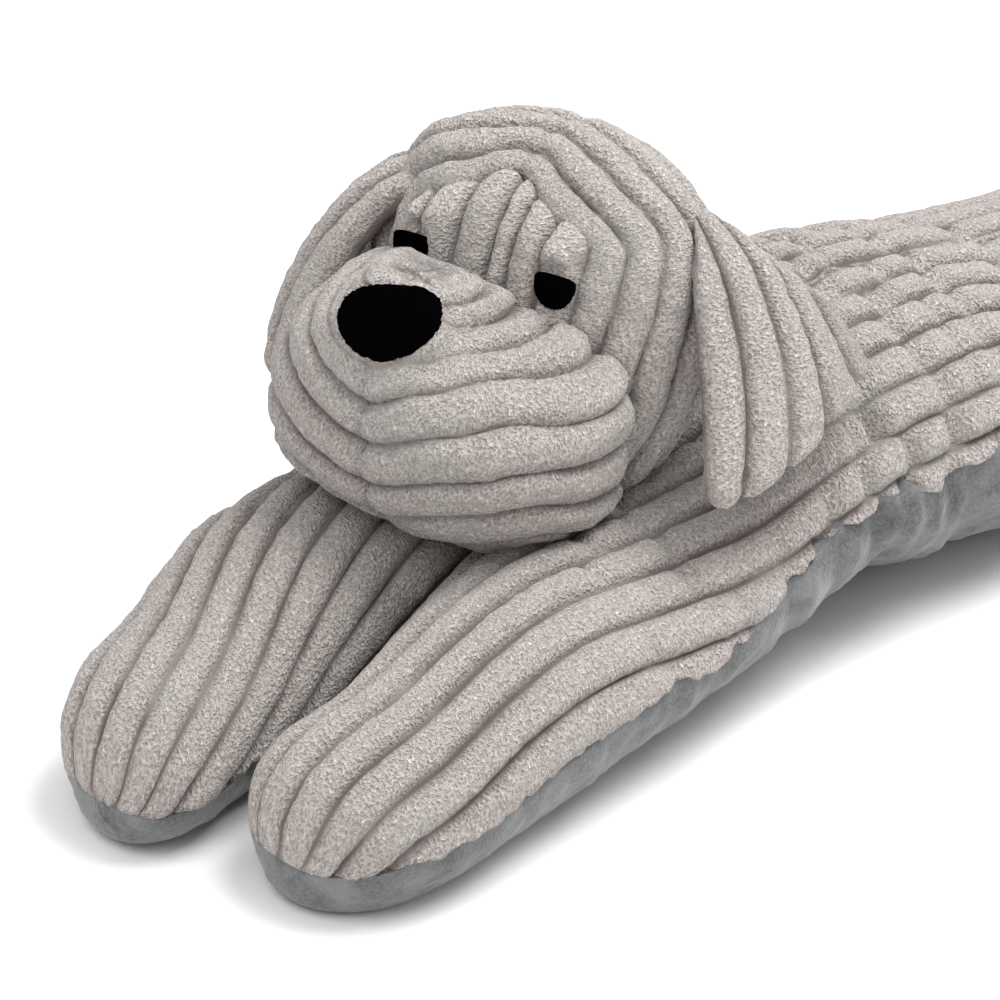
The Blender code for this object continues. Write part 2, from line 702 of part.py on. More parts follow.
def seat_nose(a, b, z):
    """Flattens the muzzle under the nose and keeps it below the nose's slope close by."""
    b, along, out = nose_frame(a, b, z)
    off = math.hypot(b / NOSE_HALF_WIDTH, along / NOSE_HALF_HEIGHT)
    if off < NOSE_SEAT_SPREAD:
        out = 0.0
    elif off < NOSE_RIM_SPREAD:
        out = min(out, NOSE_RIM_HEIGHT)
    return from_nose_frame(b, along, out)


def muzzle_section(height, side):
    """One level slice of half the muzzle: from its front's middle round to the face, then along its back."""
    table = named(MUZZLE, MUZZLE_COLUMNS)
    front, rear, tuck, half_width, rise = (
        float(read_smoothly(height, table["height"], table[name])) for name in MUZZLE_COLUMNS[1:]
    )
    swell = rib_height_between(height, MUZZLE_RIB_EDGES)
    lowest = MUZZLE[0][0]
    placed = []
    for angle in np.linspace(0, math.pi / 2, MUZZLE_TURNS):
        out_b = math.sin(angle) ** (2 / MUZZLE_BLUNTNESS)
        out_a = math.cos(angle) ** (2 / MUZZLE_BLUNTNESS)
        b = half_width * out_b + swell * math.sin(angle)
        a = rear + (front - rear) * out_a + swell * math.cos(angle)
        z = height + rise * (1 - out_a) ** 0.8 * (0.35 + 0.65 * out_b)
        a, b, z = seat_nose(a, b, z)
        b = max(b, GAP / 2)
        placed.append(pressed_on_body(muzzle_to_floor_frame(a, side * b, z), lowest))
    tucked_b = half_width * (1 - TUCK_SHARE)
    widths = [
        tucked_b + (half_width + swell - tucked_b) * math.cos(k * math.pi / 2 / TUCK_STEPS)
        for k in range(1, TUCK_STEPS + 1)
    ]
    widths += [tucked_b * (1 - k / MUZZLE_BACK_STEPS) for k in range(1, MUZZLE_BACK_STEPS + 1)]
    for k, width in enumerate(widths, start=1):
        b = max(width, GAP / 2)
        reach = rear - tuck * math.sin(min(k / TUCK_STEPS, 1.0) * math.pi / 2)
        seated = pressed_on_body(muzzle_to_floor_frame(reach, side * b, height + rise), lowest)
        a = muzzle_back_at(b, seated[2] + MUZZLE_ROLL * side * b, reach, side)
        placed.append(pressed_on_body(muzzle_to_floor_frame(a, side * b, height + rise), lowest))
    return placed


def make_muzzle_half(name, side, cloth, collection, parent):
    heights = []
    low, high = MUZZLE[0][0], MUZZLE[-1][0]
    for edge, next_edge in zip(MUZZLE_RIB_EDGES[:-1], MUZZLE_RIB_EDGES[1:]):
        heights += list(np.linspace(edge, next_edge, RIB_STEPS + 1)[:-1])
    heights = [low] + [h for h in heights if low + 1 < h < high - 1] + [high]
    points, faces = [], []
    for height in heights:
        points += muzzle_section(height, side)
    ring = len(points) // len(heights)
    for i in range(len(heights) - 1):
        a, b = i * ring, (i + 1) * ring
        faces += [(a + j, a + (j + 1) % ring, b + (j + 1) % ring, b + j) for j in range(ring)]
    fan_cap(points, faces, list(range(ring)))
    fan_cap(points, faces, list(range((len(heights) - 1) * ring, len(heights) * ring)))
    return make_mesh(name, points, faces, cloth, collection, parent)


def nose_outline(turn):
    """The nose's outline: wide and flat above, narrowing to a blunt point below."""
    up, across = math.sin(turn), math.cos(turn)
    along = NOSE_HALF_HEIGHT * math.copysign(abs(up) ** 0.85, up)
    narrow = 1.0 if up > 0 else 1 - 0.35 * up * up
    return NOSE_HALF_WIDTH * math.copysign(abs(across) ** 0.85, across) * narrow, along


def make_patch(name, rings, to_floor, outline, cloth, collection, parent):
    """A thin domed patch: rings of (share of the outline, height) from its back's edge to its crown."""
    points, faces = [], []
    turns = [2 * math.pi * k / PATCH_TURNS for k in range(PATCH_TURNS)]
    for share, height in rings:
        for turn in turns:
            across, along = outline(turn)
            points.append(to_floor(across * share, along * share, height))
    for i in range(len(rings) - 1):
        a, b = i * PATCH_TURNS, (i + 1) * PATCH_TURNS
        for j in range(PATCH_TURNS):
            k = (j + 1) % PATCH_TURNS
            faces.append((a + j, a + k, b + k, b + j))
    faces.append(tuple(range(PATCH_TURNS)))
    fan_cap(points, faces, list(range((len(rings) - 1) * PATCH_TURNS, len(rings) * PATCH_TURNS)))
    return make_mesh(name, points, faces, cloth, collection, parent)


def make_nose(name, cloth, collection, parent):
    def to_floor(across, along, out):
        return muzzle_to_floor_frame(*from_nose_frame(across, along, GAP + out * NOSE_THICKNESS))

    rings = ((0.97, 0.0), (1.0, 0.3), (0.93, 0.7), (0.7, 0.95), (0.35, 1.05))
    return make_patch(name, rings, to_floor, nose_outline, cloth, collection, parent)


def eye_outline(turn):
    """Half an oval with a nearly straight upper edge."""
    up, across = math.sin(turn), math.cos(turn)
    along = EYE_HALF_HEIGHT * (0.55 * abs(up) ** 0.4 if up > 0 else up)
    return EYE_HALF_WIDTH * math.copysign(abs(across) ** 0.7, across), along


def make_eye(name, side, cloth, collection, parent):
    def to_floor(across, along, out):
        a, z = skull_to_head(EYE_SEAT + out * EYE_THICKNESS, EYE_RISE + along)
        return head_to_floor_frame(a, side * EYE_SPACING + across, z)

    rings = ((0.96, 0.0), (1.0, 0.3), (0.85, 0.85), (0.4, 1.0))
    return make_patch(name, rings, to_floor, eye_outline, cloth, collection, parent)


def off_skull(a, b, z, clearance):
    """Moves a point straight out of the skull until it clears the skull's ribs by the clearance."""
    forward, up = a + SKULL_BACK_FROM_FRONT, z - SKULL_Z
    n = forward * math.cos(SKULL_LEAN) + up * math.sin(SKULL_LEAN)
    m = up * math.cos(SKULL_LEAN) - forward * math.sin(SKULL_LEAN)
    room = clearance + RIB_DEPTH * (1 - GROOVE_SHARE)
    reach = SKULL_FRONT if n > 0 else SKULL_REAR
    height = SKULL_HALF_HEIGHT if m > 0 else SKULL_DROP
    across = math.hypot(b / (SKULL_HALF_WIDTH + room), m / (height + room))
    off = math.hypot(n / (reach + room), across)
    if off >= 1:
        return a, b, z
    a, z = skull_to_head(n / off, m / off)
    return a, b / off, z


def make_ear(name, table, side, cloth, collection, parent):
    """A padded flap: ribs from its top edge to its lower edge on both faces' middle surface."""
    rows = named(table, EAR_COLUMNS)
    across = []
    for low, high in zip(rows["across"][:-1], rows["across"][1:]):
        across += list(np.linspace(low, high, RIB_STEPS + 1)[:-1])
    across.append(rows["across"][-1])
    shares = np.linspace(0, 1, EAR_ROWS + 1)

    def middle(p, t):
        top, mid, low = (
            np.array([read_smoothly(p, rows["across"], rows[f"{level}_{axis}"]) for axis in "abz"])
            for level in ("top", "mid", "low")
        )
        return top * (1 - t) * (1 - 2 * t) + mid * 4 * t * (1 - t) + low * t * (2 * t - 1)

    outer, inner = [], []
    for p in across:
        for t in shares:
            here = middle(p, t)
            step_p = middle(min(p + 1, across[-1]), t) - middle(max(p - 1, 0), t)
            step_t = middle(p, min(t + 0.02, 1)) - middle(p, max(t - 0.02, 0))
            normal = np.cross(step_p, step_t)
            normal /= np.linalg.norm(normal)
            if normal[1] < 0:
                normal = -normal
            edge = min(p, across[-1] - p, EAR_EDGE_WIDTH) / EAR_EDGE_WIDTH
            ends = min(t, 1 - t, EAR_END_SHARE) / EAR_END_SHARE
            round_off = math.sqrt(max(0.0, 1 - (1 - min(edge, ends)) ** 2))
            half = EAR_THICKNESS / 2 * (1 - EAR_EDGE_THINNING * (1 - round_off))
            swell = rib_height_between(p, rows["across"]) * round_off
            low = off_skull(*(here - half * normal), EAR_OFF_SKULL)
            high = np.array(low) + (2 * half + swell) * normal
            seated = above_body(head_to_floor_frame(low[0], side * low[1], low[2]))
            lift = seated[2] - low[2]
            inner.append(seated)
            outer.append(head_to_floor_frame(high[0], side * high[1], high[2] + lift))
    faces = sheet_faces(len(across), len(shares))
    return make_mesh(name, outer + inner, faces, cloth, collection, parent)


def sheet_faces(rows, columns):
    """Faces of a closed sheet from two equal grids of points, the outer one first."""
    faces, count = [], rows * columns
    for i in range(rows - 1):
        for j in range(columns - 1):
            a, b = i * columns + j, (i + 1) * columns + j
            faces.append((a, a + 1, b + 1, b))
            faces.append((count + a, count + b, count + b + 1, count + a + 1))
    rim = list(range(columns))
    rim += [i * columns + columns - 1 for i in range(1, rows)]
    rim += [(rows - 1) * columns + j for j in range(columns - 2, -1, -1)]
    rim += [i * columns for i in range(rows - 2, 0, -1)]
    for k, a in enumerate(rim):
        b = rim[(k + 1) % len(rim)]
        faces.append((a, count + a, count + b, b))
    return faces


def cloth_material(name, cloth):
    """A part's own material, made from the kind of cloth that it is cut from."""
    kind, colour, roughness, sheen = cloth
    material = bpy.data.materials.new(f"{name}_{kind}")
    material.use_nodes = True
    shader = material.node_tree.nodes["Principled BSDF"]
    shader.inputs["Base Color"].default_value = colour
    shader.inputs["Roughness"].default_value = roughness
    shader.inputs["Metallic"].default_value = 0.0
    shader.inputs["Sheen Weight"].default_value = sheen
    return material


def main():
    clear_scene()
    collection = bpy.data.collections.new(NAME)
    bpy.context.scene.collection.children.link(collection)
    dog = bpy.data.objects.new(NAME, None)
    dog.location = (-FLOOR_CENTRE[0] * MM, -FLOOR_CENTRE[1] * MM, 0)
    collection.objects.link(dog)
    make_body("body_top", cord_row, CORD, collection, dog)
    make_body("body_underside", base_row, VELOUR, collection, dog)
    for word, side, ear in (("left", 1, LEFT_EAR), ("right", -1, RIGHT_EAR)):
        make_head_side(f"head_side_{word}", side, CORD, collection, dog)
        make_muzzle_half(f"muzzle_{word}", side, CORD, collection, dog)
        make_eye(f"eye_{word}", side, FELT, collection, dog)
        make_ear(f"ear_{word}", ear, side, CORD, collection, dog)
    make_face_panel("face_panel", CORD, collection, dog)
    make_nose("nose", FELT, collection, dog)


main()
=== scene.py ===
import math

import bmesh
import bpy
import numpy as np
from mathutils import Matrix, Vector


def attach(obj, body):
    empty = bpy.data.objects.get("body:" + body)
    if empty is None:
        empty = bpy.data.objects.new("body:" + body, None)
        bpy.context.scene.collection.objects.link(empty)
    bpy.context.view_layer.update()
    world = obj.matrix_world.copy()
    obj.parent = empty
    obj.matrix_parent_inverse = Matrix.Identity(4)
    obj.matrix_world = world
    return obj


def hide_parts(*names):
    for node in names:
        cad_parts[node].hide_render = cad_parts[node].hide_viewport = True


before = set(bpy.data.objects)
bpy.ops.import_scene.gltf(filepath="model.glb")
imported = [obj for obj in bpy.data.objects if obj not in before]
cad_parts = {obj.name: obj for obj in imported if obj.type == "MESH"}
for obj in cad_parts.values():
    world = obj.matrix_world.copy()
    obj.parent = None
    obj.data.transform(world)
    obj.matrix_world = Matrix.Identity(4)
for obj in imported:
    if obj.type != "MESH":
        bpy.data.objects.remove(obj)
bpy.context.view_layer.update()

# A stuffed dog of jumbo cord, dressed from tables close to those of its solids. Sizes are in
# millimetres and become metres when a mesh is made; FLOOR_CENTRE moves the tables' origin, on the
# floor under the head, to its place in the model's frame. A pair whose name ends in _AT is the
# start and length of a ramp, or the middle and spread of a bell.
MM = 0.001
FLOOR_CENTRE = (-5.2, 297.0)
GAP, HALF_LAP = 0.3, 0.5
MERGE = 0.00001
NEARLY, TINY = 1e-6, 1e-9
SEED, LATTICE_SIZE, LINE_SIZE = 7, 32, 512

# Body: two tubes, one for each foreleg, that grow into one another at the shoulders.
TUBE_COLUMNS = ("y", "x", "half_width", "height", "rib_drift")
TRUNK = ((200, 5, 66, 89), (260, 6, 64, 84), (400, 5, 68, 88), (550, 4, 70, 91), (745, 3, 68, 89))
LEFT_TUBE = (
    (-130, 63, 32, 45.5, 0),
    (-97, 65, 33, 51, -4),
    (-60, 57, 36.5, 60, -4),
    (-20, 45, 42, 63, 3),
    (15, 32, 50, 62.5, 14),
    (50, 20, 56, 69, 28),
    (85, 10, 61, 88, 43),
    (115, 3, 67, 98, 53),
    (150, 3, 69, 97, 53),
    *((*row, 53) for row in TRUNK),
)
RIGHT_TUBE = (
    (-152, 1.5, 33, 46, 0),
    (-115, -9, 33, 53.5, 10),
    (-80, -20, 37.5, 65.5, 23),
    (-40, -27, 39.5, 68, 38),
    (0, -30, 44, 66, 49),
    (45, -23, 51, 70, 60),
    (85, -8, 60, 90, 76),
    (115, 1, 68, 98, 93),
    (150, 2, 70, 97, 93),
    *((*row, 93) for row in TRUNK),
)
LEFT_PAW_TIP, RIGHT_PAW_TIP = -134.0, -153.0
PAW_LENGTH, PAW_TIP_Z, PAW_BLUNTNESS = 34.0, 16.5, 2.4
RUMP_END, RUMP_LENGTH, RUMP_END_Z, RUMP_BLUNTNESS = 747.0, 62.0, 46.0, 2.2
TOP_BLUNTNESS = 2.2
FLOOR_SAG, UNDER_PAW = 3.0, 0.5

# The seam between cord and underside climbs from the paws to the flanks.
SEAM_COLUMNS = ("y", "height")
SEAM = (
    *((-153, 16), (-110, 22), (-80, 26), (-44, 31), (-3, 36), (16, 34), (35, 38.5)),
    *((56, 47), (79, 53), (96, 56), (116, 54), (137, 58), (200, 56), (747, 57)),
)

# The flank under the seam is drawn in under the shoulders: its bluntness and its widest place there.
FLANK_COLUMNS = ("y", "bluntness", "widest")
FLANK = (
    (-110, 2.2, 0.46),
    (-50, 2.0, 0.48),
    (0, 1.8, 0.5),
    (50, 1.72, 0.51),
    (100, 1.5, 0.5),
    (150, 1.6, 0.47),
    (220, 2.0, 0.46),
    (300, 2.2, 0.46),
)

# Compression creases that cross the ribs: the place, the depth and how far a crease spreads.
CREASES = (
    (-6, 1.0, 5),
    (23, 1.7, 5),
    (52, 1.6, 4),
    (74, 3.4, 5),
    (91, 2.2, 4),
    (106, 3.6, 5),
    (124, 3.2, 5),
    (141, 2.0, 4),
    (158, 1.8, 5),
    (187, 2.6, 6),
    (292, 1.8, 9),
    (408, 2.0, 10),
    (531, 1.8, 9),
    (640, 2.0, 9),
)
CREASE_RIBS, RIB_OFFSET, SIDE_OFFSET = 64, 24, 7
CREASE_JITTER, CREASE_GAIN, CREASE_NARROWING = 3.6, 2.0, 0.62
CREASE_IN_GROOVE = 0.3
SEAM_PULL, SEAM_PULL_SPREAD = 0.62, 3.5
SEAM_WAVE, SEAM_WAVE_LENGTH = 0.9, 7.0

# The cloth's ribs: fuller, with narrower grooves, than the solids' ribs, which stand out of their
# plain forms by RIB_ROOM. The pitch changes along the body.
PITCH_COLUMNS = ("y", "pitch")
PITCHES = ((-153, 14.6), (-90, 14.8), (-20, 14.4), (40, 13.9), (115, 13.25), (747, 13.25))
RIB_DEPTH, RIB_ROOM = 3.0, 1.2
INNER_RIBS, OUTER_RIBS, FINE = 14, 7, 12
CORD_DEPTH, CORD_FULLNESS, CORD_GROOVE_SHARE = 3.9, 3.1, 0.66
WANDER, WANDER_LENGTH = 1.1, 31.0
PUFF_SPREAD, PUFF_LENGTH, RIB_STRIDE = 0.16, 23.0, 5.3
RELIEF_RISE, MIDDLE_GROOVE = 1.5, 1.6
FRINGE, FRINGE_RAGGED, FRINGE_SIZE, FRINGE_REACH = 1.6, 0.45, 2.4, 3.0
EDGE_LIFT = 0.4

# The underside: its columns of points, and its upright folds, which are deepest at the shoulder.
UNDER_STEPS = 64
BASE_INSET, INSET_HEIGHT = 1.2, 4.0
FOLD_DEPTH, SHOULDER_FOLD, SHOULDER_FOLD_AT = 0.7, 2.6, (120, 60)
FOLD_LEAN, FOLD_SIZE, FINE_FOLD, FINE_FOLD_SIZE, FINE_FOLD_LEAN = 0.45, 11.0, 0.5, 5.0, 0.05
FOLD_HEIGHT_AT = (1.0, 8.0)

# Rows of points round and along the body.
SECTION_SAMPLES = 361
ROW_STEP, REAR_ROW_STEP, REAR_START = 1.9, 3.6, 260.0
ARC_STEP, PAW_TURN = math.radians(4), math.radians(76)

# Softness: lumps and tufts that push the cloth in or out, but not where it rests.
LUMP, LUMP_SIZE = 0.9, 42.0
TUFT, TUFT_SIZE, FINE_TUFT = 0.42, 4.2, 0.6
SOFT_HEIGHT_AT = (0.5, 6.0)

# Head: an egg-shaped skull whose axis points forward and a little up, opened by the face panel.
HEAD_FRONT = (5.2, -54.8)
HEAD_YAW, SKULL_LEAN = math.radians(15), math.radians(18)
SKULL_BACK_FROM_FRONT, SKULL_Z = 93.0, 118.0
SKULL_FRONT, SKULL_REAR = 38.5, 36.0
SKULL_HALF_WIDTH, SKULL_HALF_HEIGHT, SKULL_DROP = 58.0, 48.0, 80.0
FACE_OPENING = 0.5
CROWN_PEAK, CROWN_PEAK_SPREAD = 9.5, 0.36
OPENING_CORNER, CORNER_AT = 6.0, (math.radians(56), math.radians(17))
RING_PITCH, RING_STEP, TURN_COUNT = 12.2, 1.15, 120
RING_WAVE, RING_WAVE_TURN, RING_WAVE_LEAN, RING_WAVE_START = 1.3, 3.1, 0.02, 12.0
TURN_PUFF = 4.0
HEAD_SEAM_DEPTH, SEAM_WIDTH, SEAM_BLEND, FIRM_SEAM = 1.5, 2.6, 12.0, 2.5
EAR_ROOT, EAR_ROOT_TURN, EAR_ROOT_PLACE = 4.0, math.radians(42), 24.0
EAR_ROOT_TURNS, EAR_ROOT_REACH = 0.34, 16.0
HEAD_PILE, HEAD_PILE_START = 50.0, 40.0
MERIDIAN_SAMPLES = 400
VISUAL_SEAT, PRESSED_DEPTH = 1.6, 10.0

# Face panel: its ribs, its puffed upper ends, the brows over the eyes and the eyes' flat beds.
FACE_RIB_EDGES = (-29.5, -24.0, -10.0, 3.5, 9.5, 19.5, 30.5)
FACE_RISE, FACE_WIDER, FACE_SQUARENESS, FACE_PEAK_SPREAD = 2.4, 4.0, 4, 13.0
FACE_STEP, FACE_FINE, FACE_PILE_START = 0.7, 60, 30.0
FACE_SCALLOP, FACE_UNEVEN, FACE_STRIDE = 2.6, 0.8, 3.7
FACE_PUFF, FACE_PUFF_AT = 1.6, (0.1, 0.6)
FACE_SINK, FACE_FOOT = 5.0, 0.5
FACE_END_BLUNTNESS, FACE_SIDE_AT, FACE_EDGE_CURVE = 6, (-0.5, 2.5), 0.4
BROW, BROW_REACH, BROW_IN, BROW_UP = 4.2, 7.0, 1.0, 12.0
EYE_SPACING, EYE_RISE, EYE_LIFT = 25.5, 3.0, 3.0
EYE_HALF_WIDTH, EYE_HALF_HEIGHT, EYE_THICKNESS = 6.0, 5.2, 1.6
EYE_WIDER, EYE_CORNERS = 1.2, (0.8, 0.9)
EYE_TOP, EYE_TOP_CURVE, EYE_BOTTOM, EYE_BOTTOM_CURVE = 0.35, 0.7, 1.6, 0.9
EYE_SEAT, EYE_CLEAR, EYE_BED_DROP, EYE_BED_TALL, EYE_BED_AT = 37.2, 0.1, 2.0, 1.3, (1.35, -0.3)

# Muzzle: a boxy cushion in two halves, tucked in behind its widest place. Its ribs rise a little
# towards the cheeks, and the whole of it rolls to the dog's left by MUZZLE_ROLL, a fall over a width.
MUZZLE_COLUMNS = ("height", "front", "rear", "tuck", "half_width", "rise")
MUZZLE = (
    (60, -27, -50, 12, 43, 2),
    (66, -16, -52, 14, 48, 3),
    (74, -5, -53, 14, 51, 5),
    (86, 2, -53, 14, 54, 7),
    (100, 3, -53, 14, 54, 8),
    (112, 2, -52, 13, 46, 8),
    (122, 0, -50, 12, 36, 6),
    (128, -2, -49, 10, 30, 2),
    (134, -9, -46, 7, 25, -1),
    (140, -15, -41, 5, 21, -3),
    (145, -20, -36, 4, 16, -3),
    (148.5, -26, -31, 2, 8, -3),
)
MUZZLE_RIB_EDGES = (47.0, 60.0, 74.0, 86.0, 100.0, 112.5, 124.0, 132.5, 140.0, 147.0, 156.0)
MUZZLE_ROLL, MUZZLE_BLUNTNESS, TUCK_SHARE = 0.05, 2.5, 0.15
MUZZLE_STEP, ARC_COUNT, TUCK_COUNT, BACK_COUNT = 0.75, 64, 14, 12
BAND_BOW, BAND_FALL, BAND_BOW_AT = 10.0, 2.0, (138, -22)
BAND_END, BAND_END_AT = 4.0, (150, -12)
BAND_WAVE, BAND_WAVE_TURN = 0.9, 3.0
NEAR_TRIM, NEAR_TRIM_AT = 2.5, (66, 14)
TOP_TRIM, TOP_TRIM_AT = 4.5, (103, 14)
JOWL, JOWL_AT = 4.0, (76, 13)
NEAR_FALL, NEAR_FALL_AT = 4.0, (127, 9)
TOP_FALL, TOP_FALL_AT = 3.0, (138, 10)
RISE_CURVE, RISE_INSIDE = 0.8, 0.35
SEAM_DEPTH, MUZZLE_FIRM = 1.3, (1, 1, 0.8, 0.5, 0.3, 0.1)
MUZZLE_LUMP, MUZZLE_PILE_START = 0.5, 20.0

# Nose: a patch on the muzzle's sloping top edge, on a bed that is pressed flat.
NOSE_LOW, NOSE_HIGH = (-1.0, 127.0), (-20.0, 144.5)
NOSE_HALF_WIDTH, NOSE_HALF_HEIGHT, NOSE_THICKNESS = 16.5, 12.0, 2.6
NOSE_TURN, NOSE_ASIDE = math.radians(17), 1.2
NOSE_SQUARENESS, NOSE_REACHES, NOSE_NARROWING = (0.62, 1.15), (0.85, 1.12), 0.12
NOSE_BED_AT, NOSE_RIM, NOSE_RIM_FADE, NOSE_RIM_HEIGHT = (1.12, -0.12), 1.7, -0.5, 2.2
PLAIN_CROWN, PLAIN_AT = 0.85, (1.1, 0.8)
NOSE_SLOPE = math.atan2(NOSE_HIGH[1] - NOSE_LOW[1], NOSE_LOW[0] - NOSE_HIGH[0])
NOSE_MIDDLE = ((NOSE_LOW[0] + NOSE_HIGH[0]) / 2, (NOSE_LOW[1] + NOSE_HIGH[1]) / 2)

# A patch's rings, from its rim to its middle: how wide each is, and how high.
PATCH_SHARES = (0.94, 1.0, 1.0, 0.97, 0.92, 0.84, 0.74, 0.62, 0.48, 0.33, 0.17)
PATCH_HEIGHTS = (-0.4, 0.0, 0.35, 0.6, 0.75, 0.86, 0.93, 0.97, 1.0, 1.02, 1.04)
PATCH_TURNS, PATCH_RAGGED, PATCH_RAGGED_TURN, PATCH_TUFT = 160, 0.022, 14, 0.12

# Ears: flat padded flaps. A row is one rib edge, from the cheek backwards, with its top, middle
# and lower end given forward of the muzzle's front, to the side, and above the floor.
EAR_COLUMNS = ("across", *(f"{level}_{axis}" for level in ("top", "mid", "low") for axis in "abz"))
LEFT_EAR = (
    (0, -93, 49.5, 144, -71, 69, 112, -55, 82, 80),
    (13, -98, 49, 149, -81, 76, 116, -63, 88, 79.5),
    (26, -103, 53, 150, -91, 82, 117, -79, 93, 84),
    (39, -108, 61, 143, -102, 84, 114, -97, 94.5, 91),
    (52, -117, 69, 130, -116, 84, 110, -118, 92, 95),
    (64, -126, 77, 117, -127, 83, 106, -131, 88, 97),
)
RIGHT_EAR = (
    (0, -72, 34, 146, -58, 52, 116, -47, 62, 84),
    (13, -80, 38, 149, -64, 64, 118, -53, 73, 78),
    (26, -90, 43, 148, -76, 72, 116, -66, 81, 76),
    (39, -101, 50, 143, -91, 77, 113, -81, 86, 79),
    (52, -110, 58, 133, -106, 79, 107, -100, 86, 85),
    (64, -120, 65, 117, -120, 79, 102, -118, 84, 91),
)
EAR_THICKNESS, EAR_EDGE, EAR_EDGE_SHARE = 7.0, 5.5, 0.2
EAR_FINE, EAR_LENGTHS = 14, 72
EAR_OFF_SKULL, EAR_SINK, EAR_SINK_AT, EAR_SINK_CURVE = 0.5, 5.0, (0.22, -0.22), 1.5
EAR_LENGTH, EAR_SCALLOP, EAR_UNEVEN, EAR_STRIDE = 0.965, 0.045, 0.012, 2.7
EAR_END, EAR_TOP_FIRMNESS, EAR_PUFF = 0.08, 3.2, 6.0
EAR_LUMP, EAR_PILE = 0.4, 75.0

# Looks: colours are linear. The cord's row scale is for a millimetre along and across its ribs,
# and the other scales are for a metre.
# The first cord colour is painted shade: the cord darkens towards it in the grooves between the ribs.
CORD_GROOVE_SHADE = (0.12, 0.093, 0.086)
CORD_MIDDLE = (0.318, 0.274, 0.254)
CORD_LIGHT = (0.70, 0.648, 0.615)
CORD_GREENISH = (0.34, 0.325, 0.30)
CORD_ROW_SCALE = (1.25, 0.7, 0.0)
CLUMP_SCALE, MOTTLE_SCALE, FIBRE_SCALE = 950, 28, 1500
TUFT_RANGE, PILE_RANGE, LIT_RANGE = (0.72, 1.26), (0.1, 0.62), (0.28, 1.0)
MOTTLE_RANGE, MOTTLE, TIPS = (0.45, 0.68), 0.55, 0.8
FIBRE_DEPTH, TUFT_DEPTH = 0.00025, 0.0014
VELOUR_DARK, VELOUR_PALE, VELOUR_NAP = (0.075, 0.077, 0.079), (0.175, 0.178, 0.18), (0.25, 0.252, 0.25)
VELOUR_PATCH_SCALE, VELOUR_PATCH_RANGE = 60, (0.35, 0.65)
VELOUR_NAP_SCALE, VELOUR_NAP_RANGE, VELOUR_NAP_SHARE = 900, (0.4, 0.75), 0.5
VELOUR_NAP_DEPTH, BLACK_NAP_DEPTH, NAP_STRENGTH = 0.0004, 0.0003, 0.8
BLACK_DEEP, BLACK_NAP, BLACK_NAP_SCALE = (0.0004, 0.0004, 0.0006), (0.0014, 0.0014, 0.0018), 1100
FLOOR_COLOUR, FLOOR_REACH = (0.9, 0.9, 0.9), 6.0

# Lamps: name, bearing, height, distance, size and power. Distances of the view are in metres.
WORLD_STRENGTH = 0.71
LAMPS = (("key", 145, 64, 1.3, 0.8, 19.0), ("fill", 15, 55, 2.0, 1.2, 14.0))
VIEW_TARGET = (0.0052, -0.297, 0.06)
VIEW_AZIMUTH, VIEW_ELEVATION, VIEW_DISTANCE = 50.0, 28.0, 1.6
VIEW_LENS, SENSOR, VIEW_END = 192.0, 36.0, 20.0

rng = np.random.default_rng(SEED)
LATTICE = rng.uniform(-1, 1, (LATTICE_SIZE,) * 3)
LINE = rng.uniform(-1, 1, LINE_SIZE)
CREASE_SHIFT = rng.normal(0, 1, (len(CREASES), CREASE_RIBS))
CREASE_STRENGTH = rng.uniform(0.45, 1.35, (len(CREASES), CREASE_RIBS))


def bell(at, middle, spread):
    """1 at the middle, fading on both sides of it."""
    return np.exp(-(((at - middle) / spread) ** 2))


def ramp(at, start, length):
    """0 up to the start, and 1 from a length further on; a negative length rises the other way."""
    return np.clip((at - start) / length, 0, 1)


def signed_power(value, power):
    return np.sign(value) * np.abs(value) ** power


def joined(*parts):
    """Coordinates put together as points."""
    return np.stack(np.broadcast_arrays(*parts), axis=-1)


def parted(points):
    return np.moveaxis(points, -1, 0)


def unit(vectors):
    return vectors / np.maximum(np.linalg.norm(vectors, axis=-1, keepdims=True), TINY)


def read_smoothly(at, places, values):
    """A smooth curve through a table's values, flat beyond its ends."""
    slopes = np.gradient(values, places)
    at = np.clip(at, places[0], places[-1])
    row = np.clip(np.searchsorted(places, at, side="right") - 1, 0, len(places) - 2)
    width = places[row + 1] - places[row]
    t = (at - places[row]) / width
    rise = values[row] * (1 + 2 * t) * (1 - t) ** 2 + values[row + 1] * t * t * (3 - 2 * t)
    return rise + width * t * (1 - t) * ((1 - t) * slopes[row] - t * slopes[row + 1])


class Table:
    """Rows of named columns, which are read at any place of the first one."""

    def __init__(self, rows, columns):
        self.values = dict(zip(columns, np.array(rows, float).T))
        self.places = self.values[columns[0]]

    def read(self, name, at):
        return read_smoothly(at, self.places, self.values[name])


SEAM_TABLE = Table(SEAM, SEAM_COLUMNS)
PITCH_TABLE = Table(PITCHES, PITCH_COLUMNS)
FLANK_TABLE = Table(FLANK, FLANK_COLUMNS)
MUZZLE_TABLE = Table(MUZZLE, MUZZLE_COLUMNS)


def cloud(points, size, seed=0.0):
    """Smooth random values from -1 to 1 over points, with features of the given size."""
    at = np.asarray(points, float) / size + 13.7 * (1 + seed)
    cell = np.floor(at).astype(int)
    t = at - cell
    t = t * t * (3 - 2 * t)
    total = 0.0
    for corner in range(8):
        step = np.array([corner & 1, corner >> 1 & 1, corner >> 2])
        weight = np.prod(np.where(step, t, 1 - t), axis=-1)
        i, j, k = parted((cell + step) % LATTICE_SIZE)
        total = total + weight * LATTICE[i, j, k]
    return total


def line_noise(at, seed=0):
    """Smooth random values from -1 to 1 along a line, one for each unit."""
    at = np.asarray(at, float) + 37 * seed + 200
    cell = np.floor(at).astype(int)
    t = at - cell
    t = t * t * (3 - 2 * t)
    return LINE[cell % LINE_SIZE] * (1 - t) + LINE[(cell + 1) % LINE_SIZE] * t


